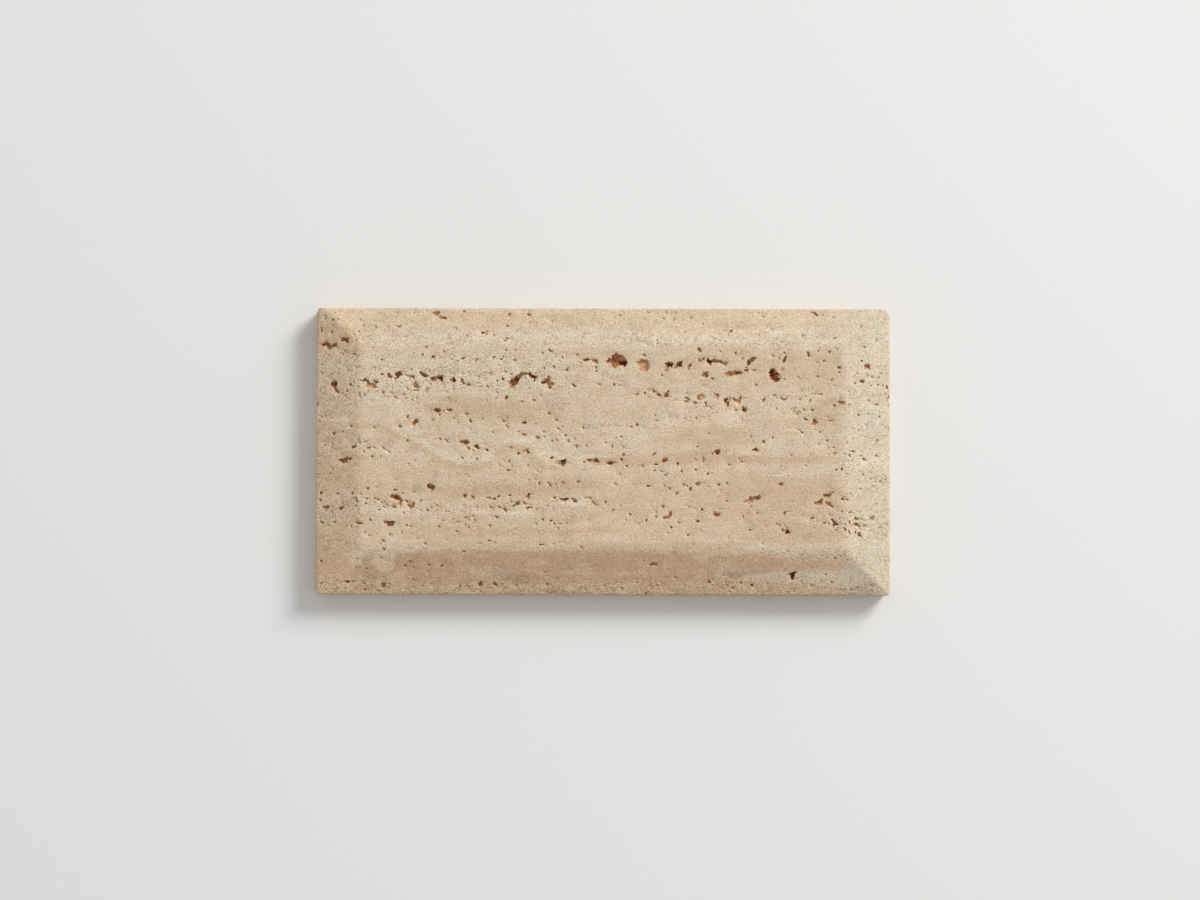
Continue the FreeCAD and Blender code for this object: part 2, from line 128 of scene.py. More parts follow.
# Each bed is its colour, how strongly it shows, how open its pores are from 0 to 1, how soft
# its border is in mm, and its line as places along the tile with half its thickness there.
BEDS = [
    (TAN, 0.36, 0.35, 3.0, [(-80, -13.0, 12.0), (-30, -15.0, 11.0), (20, -15.0, 11.0), (80, -15.0, 10.0)]),
    (DRAB, 0.62, 0.30, 1.6, [(-80, 35.0, 4.2), (-40, 34.8, 4.4), (20, 35.2, 4.0), (80, 35.5, 3.6)]),
    (BROWN, 0.20, 0.25, 1.8, [(-54, 34.5, 0), (-40, 34.3, 3.0), (-25, 34.5, 3.0), (-12, 35.0, 0)]),
    (GREY, 0.80, 0.55, 1.0, [(-72, 30.0, 0), (-60, 30.0, 1.8), (-45, 29.8, 2.3), (-15, 29.8, 2.4), (10, 29.5, 2.3),
                             (28, 29.2, 1.8), (40, 29.4, 2.2), (60, 29.8, 2.5), (80, 29.6, 2.4)]),
    (PALE, 0.48, 0.85, 2.0, [(-80, 21.0, 5.5), (-50, 22.0, 5.2), (-20, 22.5, 4.2), (0, 23.0, 0)]),
    (PINK, 0.45, 0.35, 2.4, [(4, 21.0, 0), (14, 21.5, 4.5), (40, 21.0, 5.0), (60, 20.5, 5.5), (66, 20, 0)]),
    (TAN, 0.42, 0.25, 0.9, [(-19, 26.2, 0), (-12, 26.2, 1.0), (-4, 25.8, 1.5), (10, 25.6, 1.3), (20, 25.4, 1.4),
                            (45, 25.2, 2.0), (62, 25.4, 1.8), (66, 26.0, 0)]),
    (PINK, 0.30, 0.40, 1.6, [(46, 21.5, 0), (52, 21.5, 3.8), (58, 21.5, 4.2), (65, 21.5, 0)]),
    (PALE, 0.55, 0.60, 1.0, [(0.5, 21.0, 0), (3.5, 20.8, 1.6), (6.5, 21.0, 0)]),
    (PALE, 0.42, 0.90, 1.6, [(-80, 17.0, 3.0), (-45, 17.5, 3.0), (-18, 17.5, 2.4), (-8, 17.5, 0)]),
    (PALE, 0.70, 0.60, 0.7, [(-66, 15.4, 0), (-61, 14.6, 0.8), (-55, 13.2, 0.8), (-51, 12.6, 0)]),
    (CREAM, 0.70, 0.75, 1.0, [(4, 16.8, 0), (10, 16.2, 0.9), (20, 13.8, 1.2), (30, 12.6, 1.9), (42, 12.4, 1.8),
                              (48, 14.8, 1.2), (58, 16.6, 1.0), (80, 15.6, 1.4)]),
    (TAN, 0.86, 0.42, 1.8, [(-49, 10.0, 0), (-41, 11.5, 3.6), (-33, 11.3, 3.8), (-27, 10.6, 3.2), (-18, 9.5, 3.6),
                            (-11, 9.0, 0)]),
    (PINK, 0.25, 0.30, 2.4, [(-16, 11.5, 0), (-5, 11.5, 3.4), (10, 11.5, 2.6), (18, 11, 0)]),
    (CREAM, 0.90, 0.50, 2.0, [(-4, 5.5, 0), (5, 5.6, 2.8), (15, 6.5, 2.6), (24, 8.8, 1.6), (34, 9.5, 1.6), (42, 9, 0)]),
    (TAN, 1.00, 0.15, 0.9, [(-68, 7.0, 0), (-62, 6.2, 1.4), (-55, 4.4, 1.7), (-50, 1.6, 1.5), (-45, -1.6, 1.4),
                            (-40, -4.5, 1.3), (-33, -4.8, 1.3), (-28, -0.8, 1.4), (-24, 0.4, 1.3),
                            (-20, -0.8, 1.3), (-16, -4.2, 1.3), (-12, -5.2, 1.1), (-7, -5.6, 0)]),
    (PALE, 0.80, 0.50, 0.6, [(-57, 7.6, 0), (-52, 5.4, 0.7), (-45, 0.4, 0.8), (-38, -2.4, 0.9), (-30, -2.0, 0.9),
                             (-25, 2.6, 0.9), (-20, 2.6, 1.0), (-15, -0.8, 1.0), (-10, -2.0, 1.2),
                             (-3, -1.8, 1.0), (2, -1.6, 0)]),
    (TAN, 1.00, 0.20, 1.2, [(-6, -2.6, 0), (3, -2.8, 1.8), (14, -2.5, 2.0), (24, -1.6, 2.2), (36, -2.0, 1.9),
                            (48, -2.4, 1.5), (60, -1.8, 1.2), (64, -1.8, 0)]),
    (TAN, 0.80, 0.20, 1.6, [(14, 3.0, 0), (21, 3.6, 2.4), (28, 4.2, 3.2), (34, 3.8, 3.0), (42, 3.0, 0)]),
    (TAN, 0.35, 0.30, 1.0, [(47, 8.6, 0), (51, 8.6, 1.6), (56, 8.5, 1.7), (60, 8.5, 0)]),
    (TAN, 0.75, 0.30, 1.4, [(54, 9.5, 0), (58, 10.0, 4.0), (63, 10.0, 4.4), (67, 9.5, 0)]),
    (PALE, 0.42, 0.60, 0.7, [(37, -2.6, 0), (42, -4.2, 0.8), (50, -6.4, 1.0), (55, -5.8, 1.0), (60, -4.2, 0.9),
                             (66, -3.4, 0.9), (80, -2.8, 1.3)]),
    (PALE, 0.60, 0.60, 1.2, [(62, -3.0, 0), (68, -2.8, 1.6), (80, -2.6, 2.2)]),
    (PINK, 0.76, 0.35, 2.4, [(26, -14.0, 0), (34, -14.0, 6.5), (50, -15.5, 9.5), (60, -16.0, 9.5), (66, -16, 0)]),
    (TAN, 0.40, 0.20, 1.2, [(31, -5.6, 0), (36, -5.8, 1.9), (41, -6.4, 1.9), (45, -7.6, 0)]),
    (TAN, 1.00, 0.25, 1.6, [(-62, -9.4, 0), (-54, -9.6, 1.3), (-35, -10.8, 2.2), (-24, -10.6, 2.4), (-12, -9.4, 2.1),
                            (-2, -9.0, 1.5), (6, -9.4, 0)]),
    (TAN, 0.45, 0.25, 1.4, [(31, -10.0, 0), (38, -10.0, 1.9), (52, -10.0, 2.2), (62, -10.2, 1.8), (67, -10.4, 0)]),
    (TAN, 0.55, 0.30, 1.8, [(35, -22.4, 0), (42, -22.4, 2.6), (52, -22.8, 2.6), (60, -22.6, 0)]),
    (CREAM, 0.50, 0.95, 1.6, [(-80, -15.0, 3.6), (-60, -15.4, 3.4), (-40, -15.4, 2.4), (-12, -15.0, 1.8), (0, -15, 0)]),
    (PALE, 0.50, 0.75, 1.3, [(-68, -16.2, 0), (-62, -16.2, 1.2), (-55, -16.4, 1.6), (-49, -16.6, 1.4), (-46, -16.6, 0)]),
    (PALE, 0.85, 0.75, 1.2, [(-36, -16.3, 0), (-31, -16.4, 1.3), (-27, -16.8, 0.8), (-22, -16.8, 1.5), (-17, -16.4, 0)]),
    (PALE, 1.00, 0.60, 0.8, [(-14, -14.0, 0), (-10, -14.3, 0.9), (-5, -14.2, 0.9), (-1, -14.2, 0)]),
    (CREAM, 0.50, 0.90, 1.6, [(50, -18.0, 0), (58, -18.0, 3.2), (70, -19.0, 3.6), (80, -19.0, 3.6)]),
    (TAN, 0.95, 0.40, 1.4, [(-52, -20.6, 0), (-45, -20.6, 1.8), (-36, -22.0, 1.9), (-24, -21.4, 1.8),
                            (-12, -21.4, 1.7), (0, -21.0, 1.5), (8, -21.0, 0)]),
    (TAN, 0.65, 0.25, 1.0, [(-62, -24.4, 0), (-40, -24.8, 1.3), (0, -25.0, 1.5), (30, -25.0, 1.3), (50, -25.4, 0)]),
    (PALE, 0.45, 0.25, 0.7, [(-66, -25.6, 0), (-58, -26.0, 0.8), (-50, -26.2, 0.8), (-45, -26.4, 0)]),
    (OLIVE, 0.85, 0.95, 1.8, [(-80, -36.0, 5.0), (-40, -36.2, 4.4), (20, -36.2, 4.4), (66, -36.2, 4.0), (76, -36.5, 0)]),
    (BROWN, 0.60, 0.20, 3.0, [(-80, -30.6, 4.4), (-62, -31.0, 4.4), (-48, -30.6, 5.6), (20, -30.6, 5.6),
                              (32, -30.8, 4.6), (50, -30.6, 4.2), (66, -30.0, 2.6), (72, -30.0, 0)]),
    (BROWN, 0.52, 0.20, 1.0, [(-80, -31.0, 2.0), (-70, -30.8, 2.4), (-62, -29.8, 2.8), (-53, -29.6, 2.6),
                              (-45, -29.2, 3.1), (-34, -29.0, 2.8), (-26, -29.0, 2.6),
                              (-10, -28.9, 3.2), (10, -28.9, 3.2), (20, -28.9, 3.1), (27, -29.8, 2.0), (33, -29.4, 2.5),
                              (40, -29.4, 2.2), (46, -29.2, 1.6), (52, -29.0, 0)]),
    (BROWN, 0.62, 0.20, 1.6, [(-80, -30.6, 2.6), (-66, -30.6, 2.6), (-58, -31.0, 2.4), (-52, -31.0, 0)]),
    (BROWN, 0.40, 0.15, 2.0, [(-56, -31.6, 0), (-50, -31.2, 2.2), (-43, -30.8, 2.4), (-37, -30.4, 0)]),
    (CREAM, 0.95, 0.45, 1.8, [(34, -33.6, 0), (42, -33.4, 2.0), (52, -33.4, 2.6), (62, -33.6, 2.8), (74, -34.2, 0)]),
    (PALE, 0.40, 0.20, 0.9, [(24.5, -28.4, 0), (27, -28.4, 1.5), (29.5, -28.4, 0)]),
    (BROWN, 0.45, 0.40, 2.0, [(-80, 31.0, 5.0), (-72, 31.0, 4.6), (-66, 31.0, 3.0), (-62, 31, 0)]),
    (BROWN, 0.30, 0.60, 2.8, [(-80, -2.0, 9.5), (-72, -2.5, 9.0), (-67, -2.0, 4.0), (-63, -2.0, 0)]),
    (BROWN, 0.60, 0.25, 0.5, [(-78, -4.6, 0.5), (-74, -4.2, 0.6), (-72, -3.0, 0.6), (-69.5, -2.4, 0)]),
    (BROWN, 0.52, 0.50, 1.8, [(-80, -25.0, 4.8), (-70, -25.0, 3.8), (-63, -25.0, 0)]),
    (PALE, 0.22, 0.75, 2.4, [(-80, -14.5, 4.0), (-68, -14.8, 3.6), (-62, -15.0, 0)]),
    (CREAM, 0.65, 0.65, 2.4, [(-80, 19.0, 7.5), (-68, 19.0, 7.0), (-62, 19.0, 0)]),
    # These three grey lenses on the right bevel are partly the stone's own grey and partly painted shade that tones
    # down the strong light on that bevel
    (GREY, 0.45, 0.42, 2.2, [(62, 8.5, 0), (68, 8.0, 5.0), (80, 8.0, 6.0)]),
    (GREY, 0.45, 0.42, 2.2, [(63, -9.5, 0), (69, -9.5, 4.0), (80, -9.5, 5.0)]),
    (GREY, 0.45, 0.42, 2.2, [(66, -27.0, 0), (71, -27.5, 4.5), (80, -28.0, 7.0)]),
]

# Pale round heads, where a clump that the stone grew around is cut across: place and radius
ROUND_HEADS = [(-65.2, -28.2, 2.3), (-57.8, -28.9, 3.2)]
HEAD_CREAM = (0.700, 0.588, 0.410)
HEAD_SHARE = 0.62
HEAD_BORDER = 1.0
HEAD_HEIGHT = 8.0


def bed_share(bed, x, y):
    """How far inside one bed a place lies, from 0 outside to 1 past its soft border."""
    border, line = bed[3], bed[4]
    places, middles, halves = zip(*line)
    inside = np.interp(x, places, halves) - np.abs(y - np.interp(x, places, middles))
    return np.clip(inside / border, 0, 1)


def pore_share(x, y):
    """How open the pores are at a place, from the beds that pass through it."""
    opening = np.full(np.shape(x), 0.4)
    for bed in BEDS:
        share = bed_share(bed, x, y)
        opening = opening * (1 - share) + bed[2] * share
    return opening


# The voids that the grinding cut open. Each is one lobe or several that run together.
# A lobe is its place in plan, its length and width, its turn from the beds, and its depth.
DEEP, MIDDLE, SHALLOW, PAN = 3.0, 1.5, 0.7, 0.4
LARGE_VOIDS = [
    # the top bevel
    (-74.0, 28.3, 1.2, 1.1, 0, MIDDLE), (-72.8, 27.8, 1.5, 1.0, 0, DEEP), (-71.3, 28.1, 1.0, 0.8, 0, MIDDLE),
    (-68.6, 29.3, 2.1, 1.5, 15, MIDDLE), (-69.5, 29.1, 0.9, 0.7, 0, SHALLOW), (-44.4, 36.6, 1.5, 0.6, -10, MIDDLE),
    (-42.7, 35.5, 2.0, 0.5, -12, SHALLOW), (33.8, 31.4, 0.9, 0.7, 0, MIDDLE), (56.3, 36.7, 1.8, 0.5, -28, MIDDLE),
    # the bed with the two largest voids
    (3.5, 23.9, 4.2, 2.9, 0, MIDDLE), (4.9, 23.3, 2.2, 1.8, 0, DEEP), (2.0, 24.2, 2.6, 1.1, 20, MIDDLE),
    (3.0, 22.4, 1.8, 0.8, 0, MIDDLE), (10.7, 22.8, 2.5, 2.5, 0, SHALLOW), (-4.8, 23.9, 1.5, 0.9, 0, MIDDLE),
    (-2.1, 23.8, 1.1, 0.9, -30, SHALLOW), (-23.6, 23.8, 1.2, 0.3, 0, SHALLOW), (-33.6, 23.8, 0.6, 0.3, 60, SHALLOW),
    (-37.1, 24.6, 0.7, 0.3, 0, SHALLOW), (17.5, 23.0, 1.7, 1.3, 20, DEEP), (16.6, 21.8, 1.5, 0.5, 65, SHALLOW),
    (20.2, 23.1, 1.5, 1.2, 30, DEEP), (22.8, 22.3, 1.6, 0.6, 65, SHALLOW), (28.4, 23.5, 1.9, 1.4, -40, DEEP),
    (29.5, 23.8, 1.6, 0.9, 0, SHALLOW), (31.3, 23.4, 2.9, 0.7, -12, SHALLOW), (39.4, 24.6, 1.5, 0.8, 10, MIDDLE),
    (38.5, 23.8, 1.7, 1.1, 65, MIDDLE), (38.1, 21.6, 1.1, 0.9, 0, SHALLOW), (48.3, 24.1, 1.2, 0.7, 60, MIDDLE),
    (54.2, 25.5, 1.3, 0.5, -65, MIDDLE), (70.0, 22.5, 0.9, 0.9, 0, MIDDLE), (45.2, 19.9, 3.3, 2.6, 90, MIDDLE),
    (44.8, 20.9, 1.7, 1.5, 0, DEEP), (47.3, 21.3, 1.6, 0.7, 0, PAN),
    # the upper seam
    (-71.0, 17.3, 1.4, 1.4, 0, DEEP), (-70.6, 16.1, 1.1, 0.6, -70, MIDDLE), (-63.0, 18.4, 1.1, 1.0, 0, MIDDLE),
    (-61.8, 17.7, 2.4, 0.9, -35, SHALLOW), (-60.6, 17.4, 1.6, 1.2, 90, SHALLOW), (-56.7, 19.7, 1.0, 0.7, 90, MIDDLE),
    (-54.6, 19.5, 1.1, 1.0, 0, DEEP), (-53.8, 20.2, 1.3, 1.0, 0, DEEP), (-50.6, 19.5, 1.6, 1.1, 0, SHALLOW),
    (-47.5, 20.0, 2.0, 0.7, -25, MIDDLE), (-44.7, 18.9, 1.4, 0.9, 90, MIDDLE), (-43.3, 19.2, 1.4, 1.1, 0, DEEP),
    (-40.3, 18.4, 1.2, 1.0, 90, MIDDLE), (-37.4, 18.3, 1.3, 0.6, -30, MIDDLE), (-35.7, 17.6, 1.5, 0.5, -25, MIDDLE),
    (-23.9, 18.0, 1.3, 1.2, 0, DEEP), (-23.1, 18.9, 1.6, 1.4, 0, DEEP), (-22.3, 19.6, 1.0, 0.8, 0, DEEP),
    (-21.0, 19.9, 2.2, 1.1, 10, SHALLOW), (-18.9, 19.5, 2.2, 1.2, -15, MIDDLE), (-14.5, 19.1, 0.9, 0.7, 90, SHALLOW),
    (-15.2, 18.0, 1.6, 1.1, 0, MIDDLE), (-14.4, 17.0, 1.5, 1.2, 90, SHALLOW), (27.0, 20.3, 1.5, 0.8, 20, MIDDLE),
    (33.4, 20.5, 1.5, 0.9, 0, SHALLOW), (34.7, 20.6, 1.6, 0.8, 0, SHALLOW), (35.7, 20.7, 1.3, 0.9, 0, MIDDLE),
    (68.7, 19.0, 1.5, 0.8, 22, MIDDLE), (-49.6, 17.1, 2.2, 1.2, 75, SHALLOW), (-46.5, 15.9, 1.7, 1.0, 70, SHALLOW),
    (-25.6, 13.8, 1.3, 0.6, 65, MIDDLE), (14.5, 14.8, 1.0, 0.8, 0, SHALLOW), (16.8, 14.8, 1.1, 0.9, 0, MIDDLE),
    (25.5, 14.2, 1.5, 0.7, 20, PAN), (29.9, 14.5, 1.3, 0.9, 0, SHALLOW), (32.6, 13.2, 1.4, 1.0, 90, MIDDLE),
    (34.3, 13.2, 3.0, 1.5, 0, PAN), (36.0, 13.5, 1.4, 0.9, 90, SHALLOW), (37.1, 11.1, 1.3, 1.1, 0, DEEP),
    (47.4, 14.0, 2.2, 0.9, 0, PAN), (50.5, 10.0, 2.4, 1.2, -20, PAN),
    # the middle of the face
    (-44.2, 10.5, 1.3, 1.0, -10, MIDDLE), (-40.7, 10.6, 1.3, 0.6, -10, MIDDLE), (-49.8, 7.6, 1.5, 0.8, 80, MIDDLE),
    (-68.5, -2.7, 1.3, 1.1, 60, DEEP), (-67.4, -2.4, 1.4, 0.7, 15, MIDDLE), (-37.1, 2.1, 1.0, 0.7, 0, MIDDLE),
    (-36.1, 2.1, 1.0, 0.9, 0, MIDDLE), (-33.3, 0.9, 1.3, 0.8, -35, MIDDLE), (-11.5, -3.3, 1.2, 0.8, 0, SHALLOW),
    (-10.4, -2.9, 1.1, 1.0, 0, MIDDLE), (-3.3, -2.3, 1.7, 0.8, -15, SHALLOW), (-1.8, -2.9, 1.0, 0.9, 0, MIDDLE),
    (2.0, -3.6, 1.4, 0.9, 0, MIDDLE), (16.3, -2.5, 1.2, 0.9, 60, MIDDLE), (30.3, -0.2, 1.3, 0.9, 0, MIDDLE),
    (40.1, 0.2, 1.1, 0.6, 0, MIDDLE),
    # the two lower seams
    (-46.1, -9.3, 1.2, 1.0, 0, DEEP), (-45.5, -9.9, 1.4, 1.1, -45, DEEP), (-54.6, -12.7, 2.4, 0.9, -15, DEEP),
    (-53.6, -13.7, 1.5, 0.6, -75, MIDDLE), (-51.5, -13.9, 2.6, 1.8, 0, PAN), (-50.9, -14.5, 1.2, 0.9, 0, SHALLOW), (-19.8, -11.4, 1.7, 0.8, 30, MIDDLE),
    (-9.9, -12.7, 2.4, 0.7, 0, MIDDLE), (-7.6, -13.1, 1.3, 0.5, -25, SHALLOW), (39.0, -12.7, 3.8, 0.7, 2, MIDDLE),
    (40.6, -12.5, 1.1, 0.8, 0, MIDDLE), (57.1, -12.9, 1.8, 0.9, 25, MIDDLE), (59.0, -11.8, 1.2, 0.8, 0, MIDDLE),
    (59.8, -14.0, 2.4, 0.5, -35, MIDDLE), (63.9, -12.6, 1.5, 0.9, 0, SHALLOW), (-69.0, -15.4, 1.4, 0.6, 40, MIDDLE), (-73.4, -15.1, 2.0, 0.4, 0, SHALLOW), (-25.8, -15.6, 1.1, 0.5, -30, MIDDLE),
    (-22.9, -14.2, 1.8, 0.6, 25, SHALLOW), (-19.9, -15.0, 1.2, 0.5, 30, MIDDLE), (15.7, -14.9, 1.0, 0.7, 30, PAN),
    (17.9, -16.6, 1.5, 0.7, 50, SHALLOW), (16.9, -17.6, 1.5, 0.7, 20, SHALLOW), (29.9, -16.7, 0.7, 0.7, 0, DEEP),
    (25.1, -18.5, 1.1, 0.8, 0, SHALLOW), (-64.4, -19.2, 1.4, 0.5, 0, MIDDLE), (-56.5, -19.4, 2.6, 0.8, 0, MIDDLE),
    (48.4, -21.1, 1.6, 1.2, -10, MIDDLE), (61.1, -19.2, 1.9, 0.8, -55, MIDDLE), (67.3, -17.8, 1.4, 0.5, -10, DEEP),
    (67.0, -19.5, 1.5, 0.6, -55, SHALLOW), (68.0, -22.0, 0.9, 0.7, 90, DEEP),
    # the bottom bevel
    (50.1, -32.8, 1.6, 1.4, 60, DEEP), (50.6, -32.3, 1.1, 1.0, 0, DEEP), (39.5, -35.4, 1.3, 0.5, 0, MIDDLE),
    (28.3, -34.5, 0.9, 0.5, -40, MIDDLE), (13.4, -30.2, 1.3, 0.5, -20, SHALLOW), (-28.3, -35.4, 1.1, 0.5, -40, MIDDLE),
    (-32.2, -35.3, 1.0, 0.6, 80, MIDDLE), (-58.3, -35.6, 1.3, 0.6, 90, MIDDLE), (-67.3, -34.8, 1.2, 0.5, 0, MIDDLE),
]

# Pinholes, from the top edge down. One number is a round hole, two are its length and width,
# and a third is its turn. The black ones run deep, the brown ones less, the faint ones barely.
BLACK_PINHOLES = [
    (-71.8, 34.7, 0.9, 0.5, -10), (-64.5, 34.5, 0.6, 0.3), (-53.8, 33.1, 0.7, 0.5), (-68.4, 26.4, 1.2, 0.35, -35),
    (-47.6, 25.3, 0.5), (-45.1, 24.8, 0.7, 0.6), (-58.6, 24.2, 0.5, 0.4), (-67.5, 21.2, 0.45, 0.35),
    (-74.8, 20.7, 0.6, 0.3), (-38.5, 23.8, 0.4), (-58.4, 19.8, 0.7, 0.5, -30), (-56.3, 19.3, 0.6),
    (-48.3, 20.4, 0.8, 0.7), (-46.9, 19.8, 0.7, 0.6), (-67.1, 17.4, 0.8, 0.5, 90), (-52.1, 13.8, 0.4),
    (-25.0, 36.3, 0.6, 0.5), (-25.4, 33.1, 0.9, 0.4), (-32.0, 31.2, 0.8, 0.6), (-25.6, 29.8, 0.8, 0.5),
    (-28.8, 24.7, 0.5, 0.4), (-27.0, 24.2, 0.5), (-25.6, 26.5, 0.4), (-11.6, 23.9, 0.3), (-2.0, 21.2, 0.5),
    (-15.5, 21.8, 0.5, 0.3), (-9.4, 21.5, 0.7, 0.6), (-7.7, 17.3, 1.2, 0.5, -50), (-18.4, 13.3, 0.6, 0.3),
    (20.5, 23.6, 1.1, 0.8, 30), (26.4, 24.5, 0.5, 0.4), (27.6, 24.2, 0.8), (28.9, 19.1, 1.0, 0.4, -35),
    (11.1, 15.2, 0.9, 0.6, 90), (25.0, 14.0, 0.7, 0.6), (21.9, 13.1, 1.2, 0.4), (24.4, 12.8, 0.9, 0.4),
    (27.0, 12.8, 0.7, 0.6), (58.4, 24.1, 0.6, 0.45), (62.4, 22.0, 0.9, 0.6, 25), (68.5, 24.1, 0.5),
    (71.4, 19.9, 0.6, 0.3), (57.5, 15.1, 0.9, 0.4), (54.5, 13.6, 0.5, 0.4), (69.3, 27.9, 0.5, 0.3),
    (-66.6, 6.6, 0.65, 0.55), (-71.3, 4.4, 1.0, 0.6, 55), (-73.7, 1.6, 0.5, 0.4), (-66.0, 1.0, 1.2, 0.6, 35),
    (-61.0, -1.5, 0.7, 0.45), (-51.7, 2.6, 0.5), (-43.0, 2.9, 0.6, 0.35), (-55.0, -10.5, 1.2, 0.5),
    (-62.1, -10.2, 0.9, 0.5, 30), (-74.8, -11.6, 0.8, 0.7), (-70.2, -11.7, 0.8, 0.5, -25), (-66.2, -11.4, 0.6, 0.35),
    (-55.8, -12.2, 0.9, 0.7, 90), (-36.4, 1.5, 0.7, 0.6), (-30.7, 0.2, 0.8, 0.7), (-37.3, -2.0, 0.5),
    (-21.0, 7.6, 0.8, 0.7), (-14.3, 9.8, 0.6, 0.5, 50), (-13.5, 2.6, 0.5, 0.4), (-11.9, 2.8, 0.6, 0.5),
    (-4.4, 1.3, 0.4, 0.25), (-22.4, -0.8, 0.7, 0.6), (-13.7, -2.0, 0.8, 0.5), (-17.0, -8.6, 0.6, 0.5),
    (-6.6, -8.2, 1.0, 0.4), (-12.9, -12.3, 1.1, 0.6, 25), (-24.6, -11.9, 0.7, 0.4), (-27.4, -12.1, 0.6, 0.5),
    (-36.6, -12.0, 0.8, 0.7), (33.2, 12.3, 1.1, 0.8), (9.0, 7.1, 0.8, 0.5, -25), (28.8, -0.8, 0.6, 0.3, 25),
    (5.3, -1.2, 0.9, 0.5), (6.3, -4.1, 0.7, 0.6), (14.1, -3.4, 1.1, 0.45), (13.7, -5.2, 0.7, 0.5, 50),
    (16.4, -6.5, 0.8, 0.5), (19.6, -3.5, 0.9, 0.6), (20.5, -5.4, 0.6, 0.5), (24.4, -5.1, 0.6, 0.5),
    (27.7, -6.0, 0.6, 0.4), (11.8, -9.3, 0.7), (19.5, -11.1, 0.6, 0.5, 40), (23.0, -10.2, 0.7, 0.6),
    (24.8, -8.9, 0.8, 0.6), (30.4, -8.9, 0.9, 0.6, -20), (61.1, 12.1, 0.8, 0.5, 30), (72.8, 12.6, 0.4),
    (55.1, 10.9, 0.6, 0.5), (53.5, 8.5, 1.0, 0.6, -40), (55.8, 8.1, 0.9, 0.7), (67.6, 9.8, 0.55, 0.4),
    (42.5, 2.4, 0.6, 0.5, 30), (61.5, -4.8, 0.4, 0.35), (62.9, -4.9, 0.6, 0.5), (68.6, -6.1, 0.5, 0.4),
    (46.8, -8.9, 0.7, 0.6), (63.1, -12.5, 0.8), (-57.9, -14.9, 0.5, 0.3), (-59.1, -15.7, 0.7, 0.4, 20),
    (-62.7, -14.1, 0.5), (-74.9, -13.0, 0.5, 0.4), (-73.0, -15.0, 0.9, 0.4), (-71.7, -14.8, 0.5, 0.35),
    (-46.3, -15.9, 0.5, 0.4), (-74.6, -19.1, 1.3, 0.4, -30), (-71.1, -19.1, 0.7, 0.4), (-51.9, -20.0, 0.5, 0.4),
    (-43.3, -20.2, 0.5, 0.35), (-38.6, -21.5, 0.5, 0.3), (-57.7, -26.1, 0.6, 0.5), (-58.4, -28.3, 0.6, 0.4),
    (-62.5, -31.3, 0.4), (-52.2, -30.4, 0.5, 0.4, 90), (-42.7, -30.6, 0.9, 0.35, 30), (-66.0, -34.6, 0.8, 0.3, -15),
    (-73.2, -36.6, 0.35), (-63.1, -35.1, 0.6, 0.5), (-63.2, -36.9, 0.6, 0.4), (-57.7, -35.2, 0.9, 0.4),
    (-59.1, -37.0, 0.5, 0.4, 90), (-29.4, -15.1, 0.8, 0.35), (-23.7, -14.9, 0.7, 0.6), (-28.1, -17.5, 0.9, 0.4, -25),
    (-35.2, -20.3, 0.4), (-15.9, -18.4, 0.6, 0.5), (-13.7, -18.5, 0.8, 0.6), (-30.1, -23.7, 1.2, 0.4, 10),
    (-16.6, -25.0, 0.9, 0.4), (-15.7, -24.8, 0.7, 0.4), (-37.8, -35.9, 0.9, 0.3, 90), (-26.6, -35.2, 0.5, 0.35, 30),
    (-14.7, -35.2, 0.4), (7.4, -16.8, 0.6, 0.5), (11.4, -18.4, 0.5), (14.1, -17.4, 0.6, 0.4),
    (17.8, -20.3, 0.6, 0.5), (26.2, -15.2, 0.6), (14.5, -35.3, 0.5), (11.4, -37.6, 0.7, 0.5),
    (48.0, -16.5, 1.0, 0.5, 40), (55.2, -17.7, 0.7, 0.4, 15), (58.4, -19.0, 0.6, 0.3), (56.1, -13.6, 0.9, 0.6, 40),
    (46.7, -19.5, 0.5, 0.35), (49.1, -21.4, 0.7, 0.5), (38.7, -20.9, 0.6, 0.3), (65.1, -18.7, 0.8, 0.4, 50),
    (68.4, -17.8, 0.6, 0.25),
]
